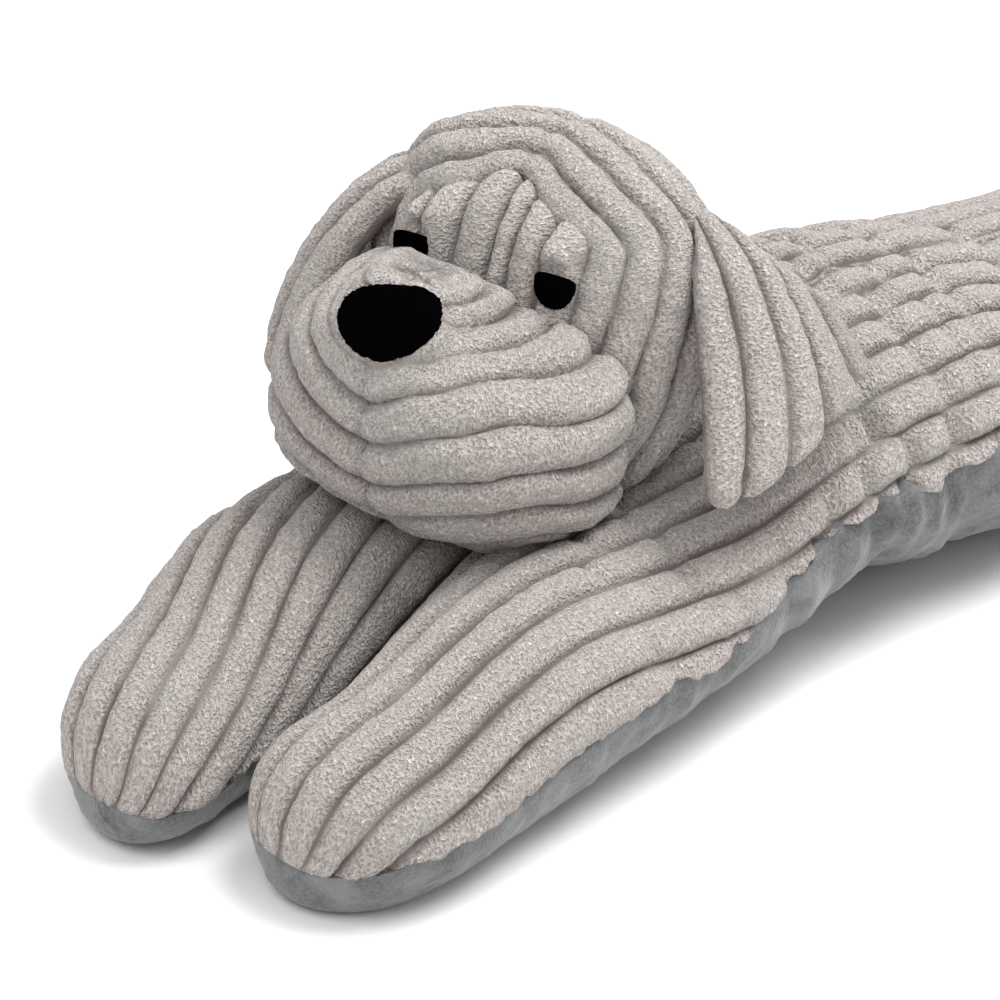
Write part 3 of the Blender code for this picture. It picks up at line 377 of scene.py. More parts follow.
def crest(share):
    """How near a place on a rib is to its crown: 0 in the groove, 1 on the crown."""
    return 1 - np.abs(2 * share - 1) ** CORD_FULLNESS


def relief(crown):
    return CORD_DEPTH * (crown - CORD_GROOVE_SHARE)


def between(place, edges):
    """The rib and the share of it for places among rising groove places."""
    edges = np.asarray(edges, float)
    k = np.clip(np.searchsorted(edges, place, side="right") - 1, 0, len(edges) - 2)
    return k, np.clip((place - edges[k]) / (edges[k + 1] - edges[k]), 0, 1)


def crease_depths(y, number, side):
    """How deep the creases press each rib in at y."""
    rib = (number.astype(int) + RIB_OFFSET + SIDE_OFFSET * side) % CREASE_RIBS
    total = np.zeros(len(rib))
    for (place, depth, spread), shift, strength in zip(CREASES, CREASE_SHIFT, CREASE_STRENGTH):
        middle = place + CREASE_JITTER * shift[rib]
        total += depth * strength[rib] * bell(y, middle, CREASE_NARROWING * spread)
    return CREASE_GAIN * total


def seam_wobble(y):
    """How far the seam is drawn up at y: most where a crease crosses it."""
    pull = SEAM_WAVE * line_noise(y / SEAM_WAVE_LENGTH, 6)
    for place, depth, _ in CREASES:
        pull += SEAM_PULL * depth * bell(y, place, SEAM_PULL_SPREAD)
    return pull


def blunt_end(reach, bluntness):
    """How full a rounded end is: 1 where it starts, 0 at its tip."""
    return max(0.0, 1 - min(reach, 1.0) ** bluntness) ** (1 / bluntness)


class Tube:
    """One half of the body: a foreleg that goes on as half of the trunk."""

    def __init__(self, rows, paw_tip, side):
        self.table = Table(rows, TUBE_COLUMNS)
        self.paw_tip = paw_tip
        self.side = side
        self.known = {}

    def fullness(self, y):
        """1 along the tube, falling to 0 at the paw's tip and at the rump's end."""
        if y < self.paw_tip + PAW_LENGTH:
            return blunt_end((self.paw_tip + PAW_LENGTH - y) / PAW_LENGTH, PAW_BLUNTNESS)
        if y > RUMP_END - RUMP_LENGTH:
            return blunt_end((y - RUMP_END + RUMP_LENGTH) / RUMP_LENGTH, RUMP_BLUNTNESS)
        return 1.0

    def section(self, y):
        """The cross-section at y: middle, half width, top, widest place, lowest place and seam."""
        if y in self.known:
            return self.known[y]
        full = self.fullness(y)
        top = self.table.read("height", y)
        seam = SEAM_TABLE.read("height", y) + seam_wobble(y)
        heights = {"top": top, "widest": FLANK_TABLE.read("widest", y) * top, "seam": seam}
        end_z = PAW_TIP_Z if y < 0 else RUMP_END_Z
        section = {name: end_z + (z - end_z) * full for name, z in heights.items()}
        section["bottom"] = end_z - (end_z + FLOOR_SAG) * full ** (UNDER_PAW if y < 0 else 1.0)
        section["half_width"] = self.table.read("half_width", y) * full
        section["bluntness"] = FLANK_TABLE.read("bluntness", y)
        section.update(full=full, x=self.table.read("x", y), rib_drift=self.table.read("rib_drift", y))
        self.known[y] = section
        return section

    def outline(self, section):
        """Points round the section, from its lowest place up the inner side and down the outer."""
        angle = np.radians(np.linspace(270, -90, SECTION_SAMPLES))
        power = 2 / np.where(np.sin(angle) > 0, TOP_BLUNTNESS, section["bluntness"])
        across = signed_power(np.cos(angle), power)
        up = signed_power(np.sin(angle), power)
        above, below = section["top"] - section["widest"], section["widest"] - section["bottom"]
        z = section["widest"] + np.where(up > 0, above, below) * up
        x = section["x"] + self.side * section["half_width"] * across
        return joined(x, np.maximum(z, 0.0))

    def top_at(self, x, y):
        """The height of the tube's upper surface over floor points at y, or 0 beside it."""
        section = self.section(y)
        off = np.abs(x - section["x"]) / max(section["half_width"], NEARLY)
        rise = np.maximum(1 - off**TOP_BLUNTNESS, 0) ** (1 / TOP_BLUNTNESS)
        return np.where(off < 1, section["widest"] + (section["top"] - section["widest"]) * rise, 0.0)

    def underside_at(self, x, y):
        section = self.section(y)
        off = min(abs(x - section["x"]) / max(section["half_width"], NEARLY), 1.0)
        drop = (1 - off ** section["bluntness"]) ** (1 / section["bluntness"])
        return max(section["widest"] - (section["widest"] - section["bottom"]) * drop, 0.0)


LEFT = Tube(LEFT_TUBE, LEFT_PAW_TIP, 1)
RIGHT = Tube(RIGHT_TUBE, RIGHT_PAW_TIP, -1)


def middle_line(y):
    """Where the two tubes' upper surfaces meet between the legs: x and z, or None in front."""
    left, right = LEFT.section(y), RIGHT.section(y)
    low, high = right["x"], left["x"]
    if high - low < 1e-3:
        return (low + high) / 2, (left["top"] + right["top"]) / 2
    for _ in range(40):
        x = (low + high) / 2
        if LEFT.top_at(x, y) > RIGHT.top_at(x, y):
            high = x
        else:
            low = x
    z = float(min(LEFT.top_at(x, y), RIGHT.top_at(x, y)))
    return (x, z) if z > left["seam"] else None


def crotch():
    """The place where the legs' inner sides first meet at the seam's height."""
    low, high = -100.0, 60.0
    for _ in range(50):
        y = (low + high) / 2
        if middle_line(y) is None:
            low = y
        else:
            high = y
    return high


CROTCH_Y = crotch()


def cross_seam(points, seam, first):
    """The first (or last) place where the outline passes the seam's height, as a point."""
    above = np.flatnonzero(points[:, 1] >= seam)
    if len(above) == 0:
        return points[len(points) // 2], 0
    i = above[0] if first else above[-1]
    j = i - 1 if first else i + 1
    if j < 0 or j >= len(points):
        return points[i], i
    t = (seam - points[j][1]) / max(points[i][1] - points[j][1], 1e-9)
    return points[j] + (points[i] - points[j]) * t, i


def arc_lengths(points):
    steps = np.linalg.norm(np.diff(points, axis=0), axis=1)
    return np.concatenate([[0.0], np.cumsum(steps)])


def normals_of(points, side):
    along = np.gradient(points, axis=0)
    return unit(joined(-along[:, 1], along[:, 0]) * side)


def at_lengths(points, lengths, wanted):
    return joined(*(np.interp(wanted, lengths, column) for column in points.T))


def shared_middle(y):
    """The point of the middle line that both halves of the top share, or None between the legs."""
    if y < CROTCH_Y - NEARLY:
        return None
    x, z = middle_line(max(y, CROTCH_Y))
    seam = LEFT.section(y)["seam"]
    return np.array([x, seam if y < CROTCH_Y + NEARLY else max(z, seam)])


def keep_beside(row, middle, side):
    """Moves a row's points that lie past the middle line back to it."""
    row[:, 0] = middle[0] + side * np.maximum(side * (row[:, 0] - middle[0]), 0.0)


def cord_row(tube, y):
    """The cord top's points at y, and the pile's place at each: along and across the ribs, and crown."""
    section = tube.section(y)
    outline = tube.outline(section)
    inner, first = cross_seam(outline, section["seam"], True)
    outer, last = cross_seam(outline, section["seam"], False)
    points = np.vstack([inner, outline[first : last + 1], outer])
    lengths = arc_lengths(points)
    crown = lengths[min((SECTION_SAMPLES - 1) // 2 - first + 1, len(lengths) - 1)]
    start, end = -crown, lengths[-1] - crown
    middle, floor = shared_middle(y), inner
    if middle is not None:
        beside = tube.side * (points[:, 0] - middle[0])
        inner_half = lengths <= crown + NEARLY
        start = float(np.interp(0.0, beside[inner_half], lengths[inner_half])) - crown
        floor = np.array([middle[0], section["seam"]])
    pitch = PITCH_TABLE.read("pitch", y)
    drift = section["rib_drift"] + WANDER * line_noise(y / WANDER_LENGTH, tube.side)
    steps = np.arange(-INNER_RIBS * FINE, OUTER_RIBS * FINE + 1)
    places = np.clip(steps * pitch / FINE + drift, start, end)
    ribs = (places - drift) / pitch
    number, crown_share = np.floor(ribs), crest(ribs % 1.0)
    puff = 1 + PUFF_SPREAD * line_noise(y / PUFF_LENGTH + RIB_STRIDE * number, 3)
    swell = relief(crown_share) * puff * min(1.0, RELIEF_RISE * section["full"])
    pressed = CREASE_IN_GROOVE + (1 - CREASE_IN_GROOVE) * crown_share
    swell -= crease_depths(y, number, tube.side) * section["full"] * pressed
    if middle is not None:
        near_middle = bell(places, start, MIDDLE_GROOVE)
        swell = swell * (1 - near_middle) + relief(0.0) * near_middle
        drop = min(middle[1] - section["seam"], -relief(0.0))
        middle = middle - (0.0, max(drop, 0.0))
    out = at_lengths(normals_of(points, tube.side), lengths, places + crown)
    row = at_lengths(points, lengths, places + crown) + out * swell[:, None]
    row[:, 1] = np.maximum(row[:, 1], section["seam"] + np.where(places < end, EDGE_LIFT, 0.0))
    ragged = 1 - FRINGE_RAGGED + FRINGE_RAGGED * line_noise(y / FRINGE_SIZE, 5)
    row[:, 1] -= FRINGE * ragged * section["full"] * bell(places, end, FRINGE_REACH)
    if middle is not None:
        keep_beside(row, middle, tube.side)
    row[places <= start + TINY] = inner if middle is None else middle
    pile = joined(y, places - drift, crown_share)
    return np.vstack([row, floor]), np.vstack([pile, pile[:1] * (1, 1, 0)])


def base_row(tube, y):
    """The underside's points at y: its roof's inner end, then from the outer seam inwards below."""
    section = tube.section(y)
    seam = section["seam"] - GAP * section["full"]
    outline = tube.outline(section)
    inner, first = cross_seam(outline, seam, True)
    outer, last = cross_seam(outline, seam, False)
    points = np.vstack([outer, outline[last + 1 :], outline[:first], inner])
    lengths = arc_lengths(points)
    middle = shared_middle(y)
    end, roof = lengths[-1], inner
    if middle is not None:
        past = tube.side * (points[:, 0] - middle[0]) <= 0
        end = lengths[np.argmax(past)] if past.any() else end
        roof = np.array([middle[0], seam])
    places = end * np.linspace(0, 1, UNDER_STEPS + 1)
    row = at_lengths(points, lengths, places)
    inset = BASE_INSET * section["full"] * np.minimum(row[:, 1] / INSET_HEIGHT, 1.0)
    row[:, 0] += np.sign(section["x"] - row[:, 0]) * inset
    row[:, 1] = np.minimum(row[:, 1], seam)
    folds = under_folds(y, places) * section["full"] * ramp(row[:, 1], *FOLD_HEIGHT_AT)
    row[:, 0] += np.sign(row[:, 0] - section["x"]) * folds
    if middle is None or y < CROTCH_Y + NEARLY:
        row[-1] = roof
    else:
        low = 0.5 * (LEFT.underside_at(middle[0], y) + RIGHT.underside_at(middle[0], y))
        keep_beside(row, middle, tube.side)
        row[-1] = (middle[0], min(low, seam - GAP))
    pile = joined(y, places, 1.0)
    return np.vstack([roof, row]), np.vstack([pile[-1:], pile])


def under_folds(y, places):
    """Soft upright folds in the underside's flank, deepest under the shoulder."""
    lean = y - FOLD_LEAN * places
    fine = line_noise(lean / FINE_FOLD_SIZE + FINE_FOLD_LEAN * places, 9)
    deep = FOLD_DEPTH + SHOULDER_FOLD * bell(y, *SHOULDER_FOLD_AT)
    return deep * (line_noise(lean / FOLD_SIZE, 8) + FINE_FOLD * fine)


def leg_stations(paw_tip):
    """Row places along Y from a paw's tip to just before the crotch."""
    paw = list(paw_tip + PAW_LENGTH * (1 - np.cos(np.arange(0, PAW_TURN, ARC_STEP))))
    rows = int((CROTCH_Y - paw[-1]) / ROW_STEP)
    return paw + list(np.linspace(paw[-1], CROTCH_Y, rows)[1:-1])


def trunk_stations():
    """Row places from the crotch to the rump, closer together where the photograph shows them."""
    rump_start = RUMP_END - RUMP_LENGTH
    near = np.linspace(CROTCH_Y, REAR_START, int((REAR_START - CROTCH_Y) / ROW_STEP))
    far = np.linspace(REAR_START, rump_start, int((rump_start - REAR_START) / REAR_ROW_STEP))
    rump = rump_start + RUMP_LENGTH * np.sin(np.arange(ARC_STEP, math.pi / 2, ARC_STEP))
    return list(near) + list(far[1:]) + list(rump) + [RUMP_END]


def grid_faces(rows, columns, first=0, wrap=False):
    """Quads of a grid of points, row after row; wrap joins each row's end to its start."""
    i, j = np.meshgrid(np.arange(rows - 1), np.arange(columns if wrap else columns - 1), indexing="ij")
    a = first + i * columns + j
    b = first + i * columns + (j + 1) % columns
    return np.stack([a, b, b + columns, a + columns], axis=-1).reshape(-1, 4).tolist()


def closed_faces(rows, columns):
    """Faces of a grid of rings, with its first and last ring closed."""
    ends = [list(range(first, first + columns)) for first in (0, (rows - 1) * columns)]
    return grid_faces(rows, columns, wrap=True) + ends


def make_body(name, row_of, material):
    points, pile, faces = [], [], []
    for tube in (LEFT, RIGHT):
        stations = leg_stations(tube.paw_tip) + trunk_stations()
        first = sum(len(p) for p in points)
        rows = [row_of(tube, y) for y in stations]
        columns = len(rows[0][0])
        for y, (row, attribute) in zip(stations, rows):
            points.append(np.insert(row, 1, y, axis=1))
            pile.append(attribute)
        faces += grid_faces(len(rows), columns, first)
    return make_mesh(name, np.vstack(points), faces, np.vstack(pile), material)


def add_object(name, data):
    """A new object of the scene that holds the data."""
    obj = bpy.data.objects.new(name, data)
    bpy.context.scene.collection.objects.link(obj)
    return obj


def make_mesh(name, points, faces, pile, material, tuft=TUFT, lump=LUMP, firm=0.0):
    """A closed piece from points in the tables' millimetres, softened except where it is firm."""
    mesh = bpy.data.meshes.new(name)
    placed = (np.reshape(points, (-1, 3)) - (*FLOOR_CENTRE, 0.0)) * MM
    mesh.from_pydata(placed.tolist(), [], faces)
    layer = mesh.attributes.new("pile", "FLOAT_VECTOR", "POINT")
    layer.data.foreach_set("vector", np.asarray(pile, np.float32).ravel())
    loose = np.ones(len(placed)) - np.clip(np.ravel(firm), 0, 1)
    layer = mesh.attributes.new("loose", "FLOAT", "POINT")
    layer.data.foreach_set("value", loose.astype(np.float32))
    work = bmesh.new()
    work.from_mesh(mesh)
    bmesh.ops.remove_doubles(work, verts=work.verts, dist=MERGE)
    bmesh.ops.dissolve_degenerate(work, edges=work.edges, dist=MERGE)
    bmesh.ops.recalc_face_normals(work, faces=work.faces)
    work.to_mesh(mesh)
    work.free()
    soften(mesh, tuft, lump)
    mesh.shade_smooth()
    mesh.materials.append(material)
    return add_object(name, mesh)


def soften(mesh, tuft, lump):
    """Pushes each point in or out by soft lumps and small tufts, but keeps the base flat."""
    count = len(mesh.vertices)
    places, normals = np.empty(count * 3, np.float32), np.empty(count * 3, np.float32)
    mesh.vertices.foreach_get("co", places)
    mesh.vertex_normals.foreach_get("vector", normals)
    places, normals = places.reshape(-1, 3) / MM, normals.reshape(-1, 3)
    push = lump * cloud(places, LUMP_SIZE) + tuft * cloud(places, TUFT_SIZE, 1)
    push = push + FINE_TUFT * tuft * cloud(places, 0.5 * TUFT_SIZE, 2)
    loose = np.empty(count, np.float32)
    mesh.attributes["loose"].data.foreach_get("value", loose)
    push *= ramp(places[:, 2], *SOFT_HEIGHT_AT) * loose
    moved = places + push[:, None] * normals
    moved[:, 2] = np.maximum(moved[:, 2], 0.0)
    mesh.vertices.foreach_set("co", (moved * MM).astype(np.float32).ravel())
    mesh.update()


def head_to_floor(a, b, z):
    """From forward of the muzzle's front, to the dog's left, and up, to the table frame."""
    x = HEAD_FRONT[0] + a * math.sin(HEAD_YAW) + b * math.cos(HEAD_YAW)
    y = HEAD_FRONT[1] - a * math.cos(HEAD_YAW) + b * math.sin(HEAD_YAW)
    return joined(x, y, z)


def skull_to_head(n, m):
    """From along and across the skull's leaning axis to forward and up."""
    a = n * math.cos(SKULL_LEAN) - m * math.sin(SKULL_LEAN) - SKULL_BACK_FROM_FRONT
    z = n * math.sin(SKULL_LEAN) + m * math.cos(SKULL_LEAN) + SKULL_Z
    return a, z


def skull_to_floor(n, b, m):
    a, z = skull_to_head(n, m)
    return head_to_floor(a, b, z)


SEAT_X, SEAT_Y = np.arange(-130, 131, 1.0), np.arange(-130, 151, 1.0)
SEAT_MAP = np.stack([np.maximum(LEFT.top_at(SEAT_X, y), RIGHT.top_at(SEAT_X, y)) for y in SEAT_Y])


def seat_height(x, y):
    """The lowest place over floor points that clears the body's ribs."""
    u = np.clip(np.asarray(x, float) - SEAT_X[0], 0, len(SEAT_X) - 1.001)
    v = np.clip(np.asarray(y, float) - SEAT_Y[0], 0, len(SEAT_Y) - 1.001)
    i, j = v.astype(int), u.astype(int)
    s, t = v - i, u - j
    low = SEAT_MAP[i, j] * (1 - t) + SEAT_MAP[i, j + 1] * t
    high = SEAT_MAP[i + 1, j] * (1 - t) + SEAT_MAP[i + 1, j + 1] * t
    return low * (1 - s) + high * s + VISUAL_SEAT


def above_body(points):
    """The points, or the places straight above them that clear the body."""
    lifted = points.copy()
    lifted[..., 2] = np.maximum(points[..., 2], seat_height(points[..., 0], points[..., 1]))
    return lifted


def pressed_on_body(points, lowest):
    """The points with all from the piece's lowest height up squeezed together above the body."""
    seat = seat_height(points[..., 0], points[..., 1])
    z = points[..., 2]
    squeezed = seat + (z - lowest) * PRESSED_DEPTH / np.maximum(seat + PRESSED_DEPTH - lowest, 1e-6)
    pressed = points.copy()
    pressed[..., 2] = np.where((seat > lowest) & (z < seat + PRESSED_DEPTH), squeezed, z)
    return pressed


def meridian_table():
    """Angle from the skull's front pole against distance over its surface from the face opening."""
    angles = np.linspace(math.asin(FACE_OPENING), math.pi, MERIDIAN_SAMPLES)
    length = np.where(angles < math.pi / 2, SKULL_FRONT, SKULL_REAR)
    across = 0.5 * (SKULL_HALF_WIDTH + SKULL_HALF_HEIGHT)
    speed = np.hypot(length * np.sin(angles), across * np.cos(angles))
    distance = np.concatenate([[0], np.cumsum(0.5 * (speed[1:] + speed[:-1]) * np.diff(angles))])
    return angles, distance


def make_head_side(name, side, material):
    """Half the skull, with its ribs as rings round the face and a flat wall at the head's middle."""
    angles, distances = meridian_table()
    total = distances[-1]
    rings = np.linspace(0, total, int(total / RING_STEP))
    turns = np.linspace(0, math.pi, TURN_COUNT)
    distance, turn = np.meshgrid(rings, turns, indexing="ij")
    peak = CROWN_PEAK * bell(turn, 0, CROWN_PEAK_SPREAD) + OPENING_CORNER * bell(turn, *CORNER_AT)
    moved = np.minimum(distance + peak * (1 - distance / total), total)
    angle = np.interp(moved, distances, angles)
    reach = np.where(angle < math.pi / 2, SKULL_FRONT, SKULL_REAR)
    height = np.where(turn < math.pi / 2, SKULL_HALF_HEIGHT, SKULL_DROP)
    n = reach * np.cos(angle)
    b = SKULL_HALF_WIDTH * np.sin(angle) * np.sin(turn)
    m = height * np.sin(angle) * np.cos(turn)
    normal = unit(joined(n / reach**2, b / SKULL_HALF_WIDTH**2, m / height**2))
    base = skull_to_floor(n, side * b, m)
    free = ramp(base[..., 2], seat_height(base[..., 0], base[..., 1]), RIB_DEPTH)
    apart = ramp(b, 0, SEAM_BLEND)
    wave = line_noise(turn * RING_WAVE_TURN + RING_WAVE_LEAN * distance, 12 + side)
    wave = RING_WAVE * apart * wave * ramp(distance, 0, RING_WAVE_START)
    ribs = (distance + wave) / RING_PITCH
    crown_share = crest(ribs % 1.0)
    puff = line_noise(turn * TURN_PUFF + RIB_STRIDE * np.floor(ribs), 21 + side)
    swell = relief(crown_share) * (1 + PUFF_SPREAD * apart * puff)
    if side < 0:
        far = (distance - EAR_ROOT_PLACE) / EAR_ROOT_REACH
        swell += EAR_ROOT * bell(np.hypot((turn - EAR_ROOT_TURN) / EAR_ROOT_TURNS, far), 0, 1)
    swell -= HEAD_SEAM_DEPTH * bell(b, 0, SEAM_WIDTH)
    n, swelled, m = parted(joined(n, b, m) + (free * swell)[..., None] * normal)
    across = np.where(b < NEARLY, -HALF_LAP, np.maximum(swelled, -HALF_LAP))
    points = above_body(skull_to_floor(n, side * across, m))
    pile = joined(turn * HEAD_PILE, distance + HEAD_PILE_START, crown_share)
    faces = grid_faces(len(rings), TURN_COUNT)
    crown = [i * TURN_COUNT for i in range(len(rings))]
    faces.append(crown + [i + TURN_COUNT - 1 for i in crown[::-1]])
    faces.append(list(range(TURN_COUNT)))
    return make_mesh(name, points, faces, pile, material, firm=bell(b, 0, FIRM_SEAM))


def face_edges(b):
    """The face panel's lower and upper edges over b, in the skull's own plane."""
    width = FACE_OPENING * SKULL_HALF_WIDTH + FACE_WIDER
    rounding = np.maximum(0.0, 1 - np.abs(b / width) ** FACE_SQUARENESS) ** (1 / FACE_SQUARENESS)
    square = SKULL_HALF_HEIGHT * FACE_OPENING * rounding
    return -square, square + (CROWN_PEAK - 1.0) * bell(b, 0, FACE_PEAK_SPREAD)


def make_face_panel(name, material):
    """The brow: a domed panel of upright ribs with puffed upper ends, flat where the eyes lie."""
    first, last = FACE_RIB_EDGES[0], FACE_RIB_EDGES[-1]
    columns = np.linspace(first, last, int((last - first) / FACE_STEP))
    shares = np.sin(np.linspace(-math.pi / 2, math.pi / 2, FACE_FINE))
    b, share = np.meshgrid(columns, shares, indexing="ij")
    rib, along = between(b, FACE_RIB_EDGES)
    crown_share = crest(along)
    lower, upper = face_edges(b)
    upper = upper - FACE_SCALLOP * (1 - crown_share) + FACE_UNEVEN * line_noise(rib * FACE_STRIDE, 31)
    m = (lower + upper) / 2 + (upper - lower) / 2 * share
    off = (b / SKULL_HALF_WIDTH) ** 2 + (m / SKULL_HALF_HEIGHT) ** 2
    dome = SKULL_FRONT * np.sqrt(np.maximum(0.0, 1 - off)) + FACE_RISE
    side_edge = ramp(np.minimum(last - b, b - first), *FACE_SIDE_AT)
    edge = np.maximum(np.minimum(1 - np.abs(share) ** FACE_END_BLUNTNESS, side_edge), 0.0)
    puffed = relief(crown_share) + FACE_PUFF * crown_share * ramp(share, *FACE_PUFF_AT)
    back = SKULL_FRONT * math.sqrt(1 - FACE_OPENING**2) + GAP - FACE_SINK
    foot = back + FACE_FOOT
    n = foot + (dome - foot + puffed) * edge**FACE_EDGE_CURVE
    off_eye = np.abs(b) - EYE_SPACING
    n = n + BROW * bell(np.hypot(off_eye + BROW_IN, m - EYE_RISE - BROW_UP), 0, BROW_REACH) * edge
    above_eye = (m - EYE_RISE - EYE_LIFT + EYE_BED_DROP) / EYE_HALF_HEIGHT / EYE_BED_TALL
    under_eye = ramp(np.hypot(off_eye / EYE_HALF_WIDTH, above_eye), *EYE_BED_AT)
    n = n * (1 - under_eye) + np.minimum(n, EYE_SEAT - EYE_CLEAR) * under_eye
    pile = joined(m + FACE_PILE_START, b + FACE_PILE_START, crown_share)
    return make_sheet(name, skull_to_floor(n, b, m), skull_to_floor(back, b, m), pile, material)


def make_sheet(name, front, behind, pile, material, **softness):
    """A closed piece from two equal grids of points."""
    rows, columns = front.shape[:2]
    count = rows * columns
    faces = grid_faces(rows, columns) + [f[::-1] for f in grid_faces(rows, columns, count)]
    grid = np.arange(count).reshape(rows, columns)
    rim = [*grid[0], *grid[1:, -1], *grid[-1, -2::-1], *grid[-2:0:-1, 0]]
    faces += [[a, count + a, count + b, b] for a, b in zip(rim, rim[1:] + rim[:1])]
    return make_mesh(name, [front, behind], faces, [pile, pile], material, **softness)


def skull_front_at(b, z):
    """How far forward the skull reaches at b and z, with room for its ribs; far behind beside it."""
    cos, sin, up = math.cos(SKULL_LEAN), math.sin(SKULL_LEAN), z - SKULL_Z
    front, width = SKULL_FRONT + FACE_RISE + RIB_ROOM, SKULL_HALF_WIDTH + RIB_ROOM
    below, above = (
        forward_reach(b, up, (front, width, height + RIB_ROOM), cos, sin)
        for height in (SKULL_DROP, SKULL_HALF_HEIGHT)
    )
    return np.where(up * cos < below * sin, below, above) - SKULL_BACK_FROM_FRONT


def forward_reach(b, up, reach, cos, sin):
    """How far forward an egg of the given reaches goes at b and up, or far behind beside it."""
    square = (cos / reach[0]) ** 2 + (sin / reach[2]) ** 2
    linear = 2 * up * cos * sin * (1 / reach[0] ** 2 - 1 / reach[2] ** 2)
    rest = up**2 * ((sin / reach[0]) ** 2 + (cos / reach[2]) ** 2) + (b / reach[1]) ** 2 - 1
    inside = linear**2 - 4 * square * rest
    forward = (-linear + np.sqrt(np.maximum(inside, 0))) / (2 * square)
    return np.where(inside < 0, -1e3, forward)


def muzzle_to_floor(a, b, z):
    return head_to_floor(a, b, z - MUZZLE_ROLL * b)


def nose_frame(a, b, z):
    """Points' places on the nose's slope: to the left, up the slope, and out of it."""
    da, dz = a - NOSE_MIDDLE[0], z - NOSE_MIDDLE[1]
    along = -da * math.cos(NOSE_SLOPE) + dz * math.sin(NOSE_SLOPE)
    out = da * math.sin(NOSE_SLOPE) + dz * math.cos(NOSE_SLOPE)
    return b, along, out


def from_nose_frame(b, along, out):
    a = NOSE_MIDDLE[0] - along * math.cos(NOSE_SLOPE) + out * math.sin(NOSE_SLOPE)
    z = NOSE_MIDDLE[1] + along * math.sin(NOSE_SLOPE) + out * math.cos(NOSE_SLOPE)
    return a, b, z


def seat_nose(a, b, z):
    """Flattens the muzzle under the nose, and lets the pile stand up round its edge."""
    b, along, out = nose_frame(a, b, z)
    off = np.hypot(b / NOSE_HALF_WIDTH, along / NOSE_HALF_HEIGHT)
    near = ramp(off, NOSE_RIM, NOSE_RIM_FADE)
    out = np.where(off < NOSE_RIM, out * (1 - near) + np.minimum(out, NOSE_RIM_HEIGHT) * near, out)
    return from_nose_frame(b, along, out * (1 - ramp(off, *NOSE_BED_AT)))


def muzzle_slices(side):
    """The heights of the muzzle's level slices, and what its table gives for each."""
    low, high = MUZZLE[0][0], MUZZLE[-1][0]
    heights = np.linspace(low, high, int((high - low) / MUZZLE_STEP))[:, None]
    columns = (MUZZLE_TABLE.read(name, heights) for name in MUZZLE_COLUMNS[1:])
    front, rear, tuck, half_width, rise = columns
    if side > 0:
        rise = rise - NEAR_FALL * bell(heights, *NEAR_FALL_AT)
        trim = NEAR_TRIM * ramp(heights, *NEAR_TRIM_AT) + TOP_TRIM * ramp(heights, *TOP_TRIM_AT)
        half_width = half_width - trim
    else:
        half_width = half_width + JOWL * bell(heights, *JOWL_AT)
    return heights, front, rear, tuck, half_width, rise


def muzzle_bands(heights, angle, side):
    """The muzzle's bowed ribs: how near each place is to a crown, and how far it swells."""
    wave = BAND_WAVE * line_noise(angle * BAND_WAVE_TURN, 41 + side)
    bow = BAND_BOW * np.sin(2 * angle) - BAND_FALL * np.sin(angle) ** 2
    rib, share = between(heights + wave - bow * ramp(heights, *BAND_BOW_AT), MUZZLE_RIB_EDGES)
    puff = 1 + PUFF_SPREAD * line_noise(angle * TURN_PUFF + RIB_STRIDE * rib, 43 + side)
    return crest(share), relief(crest(share)) * puff


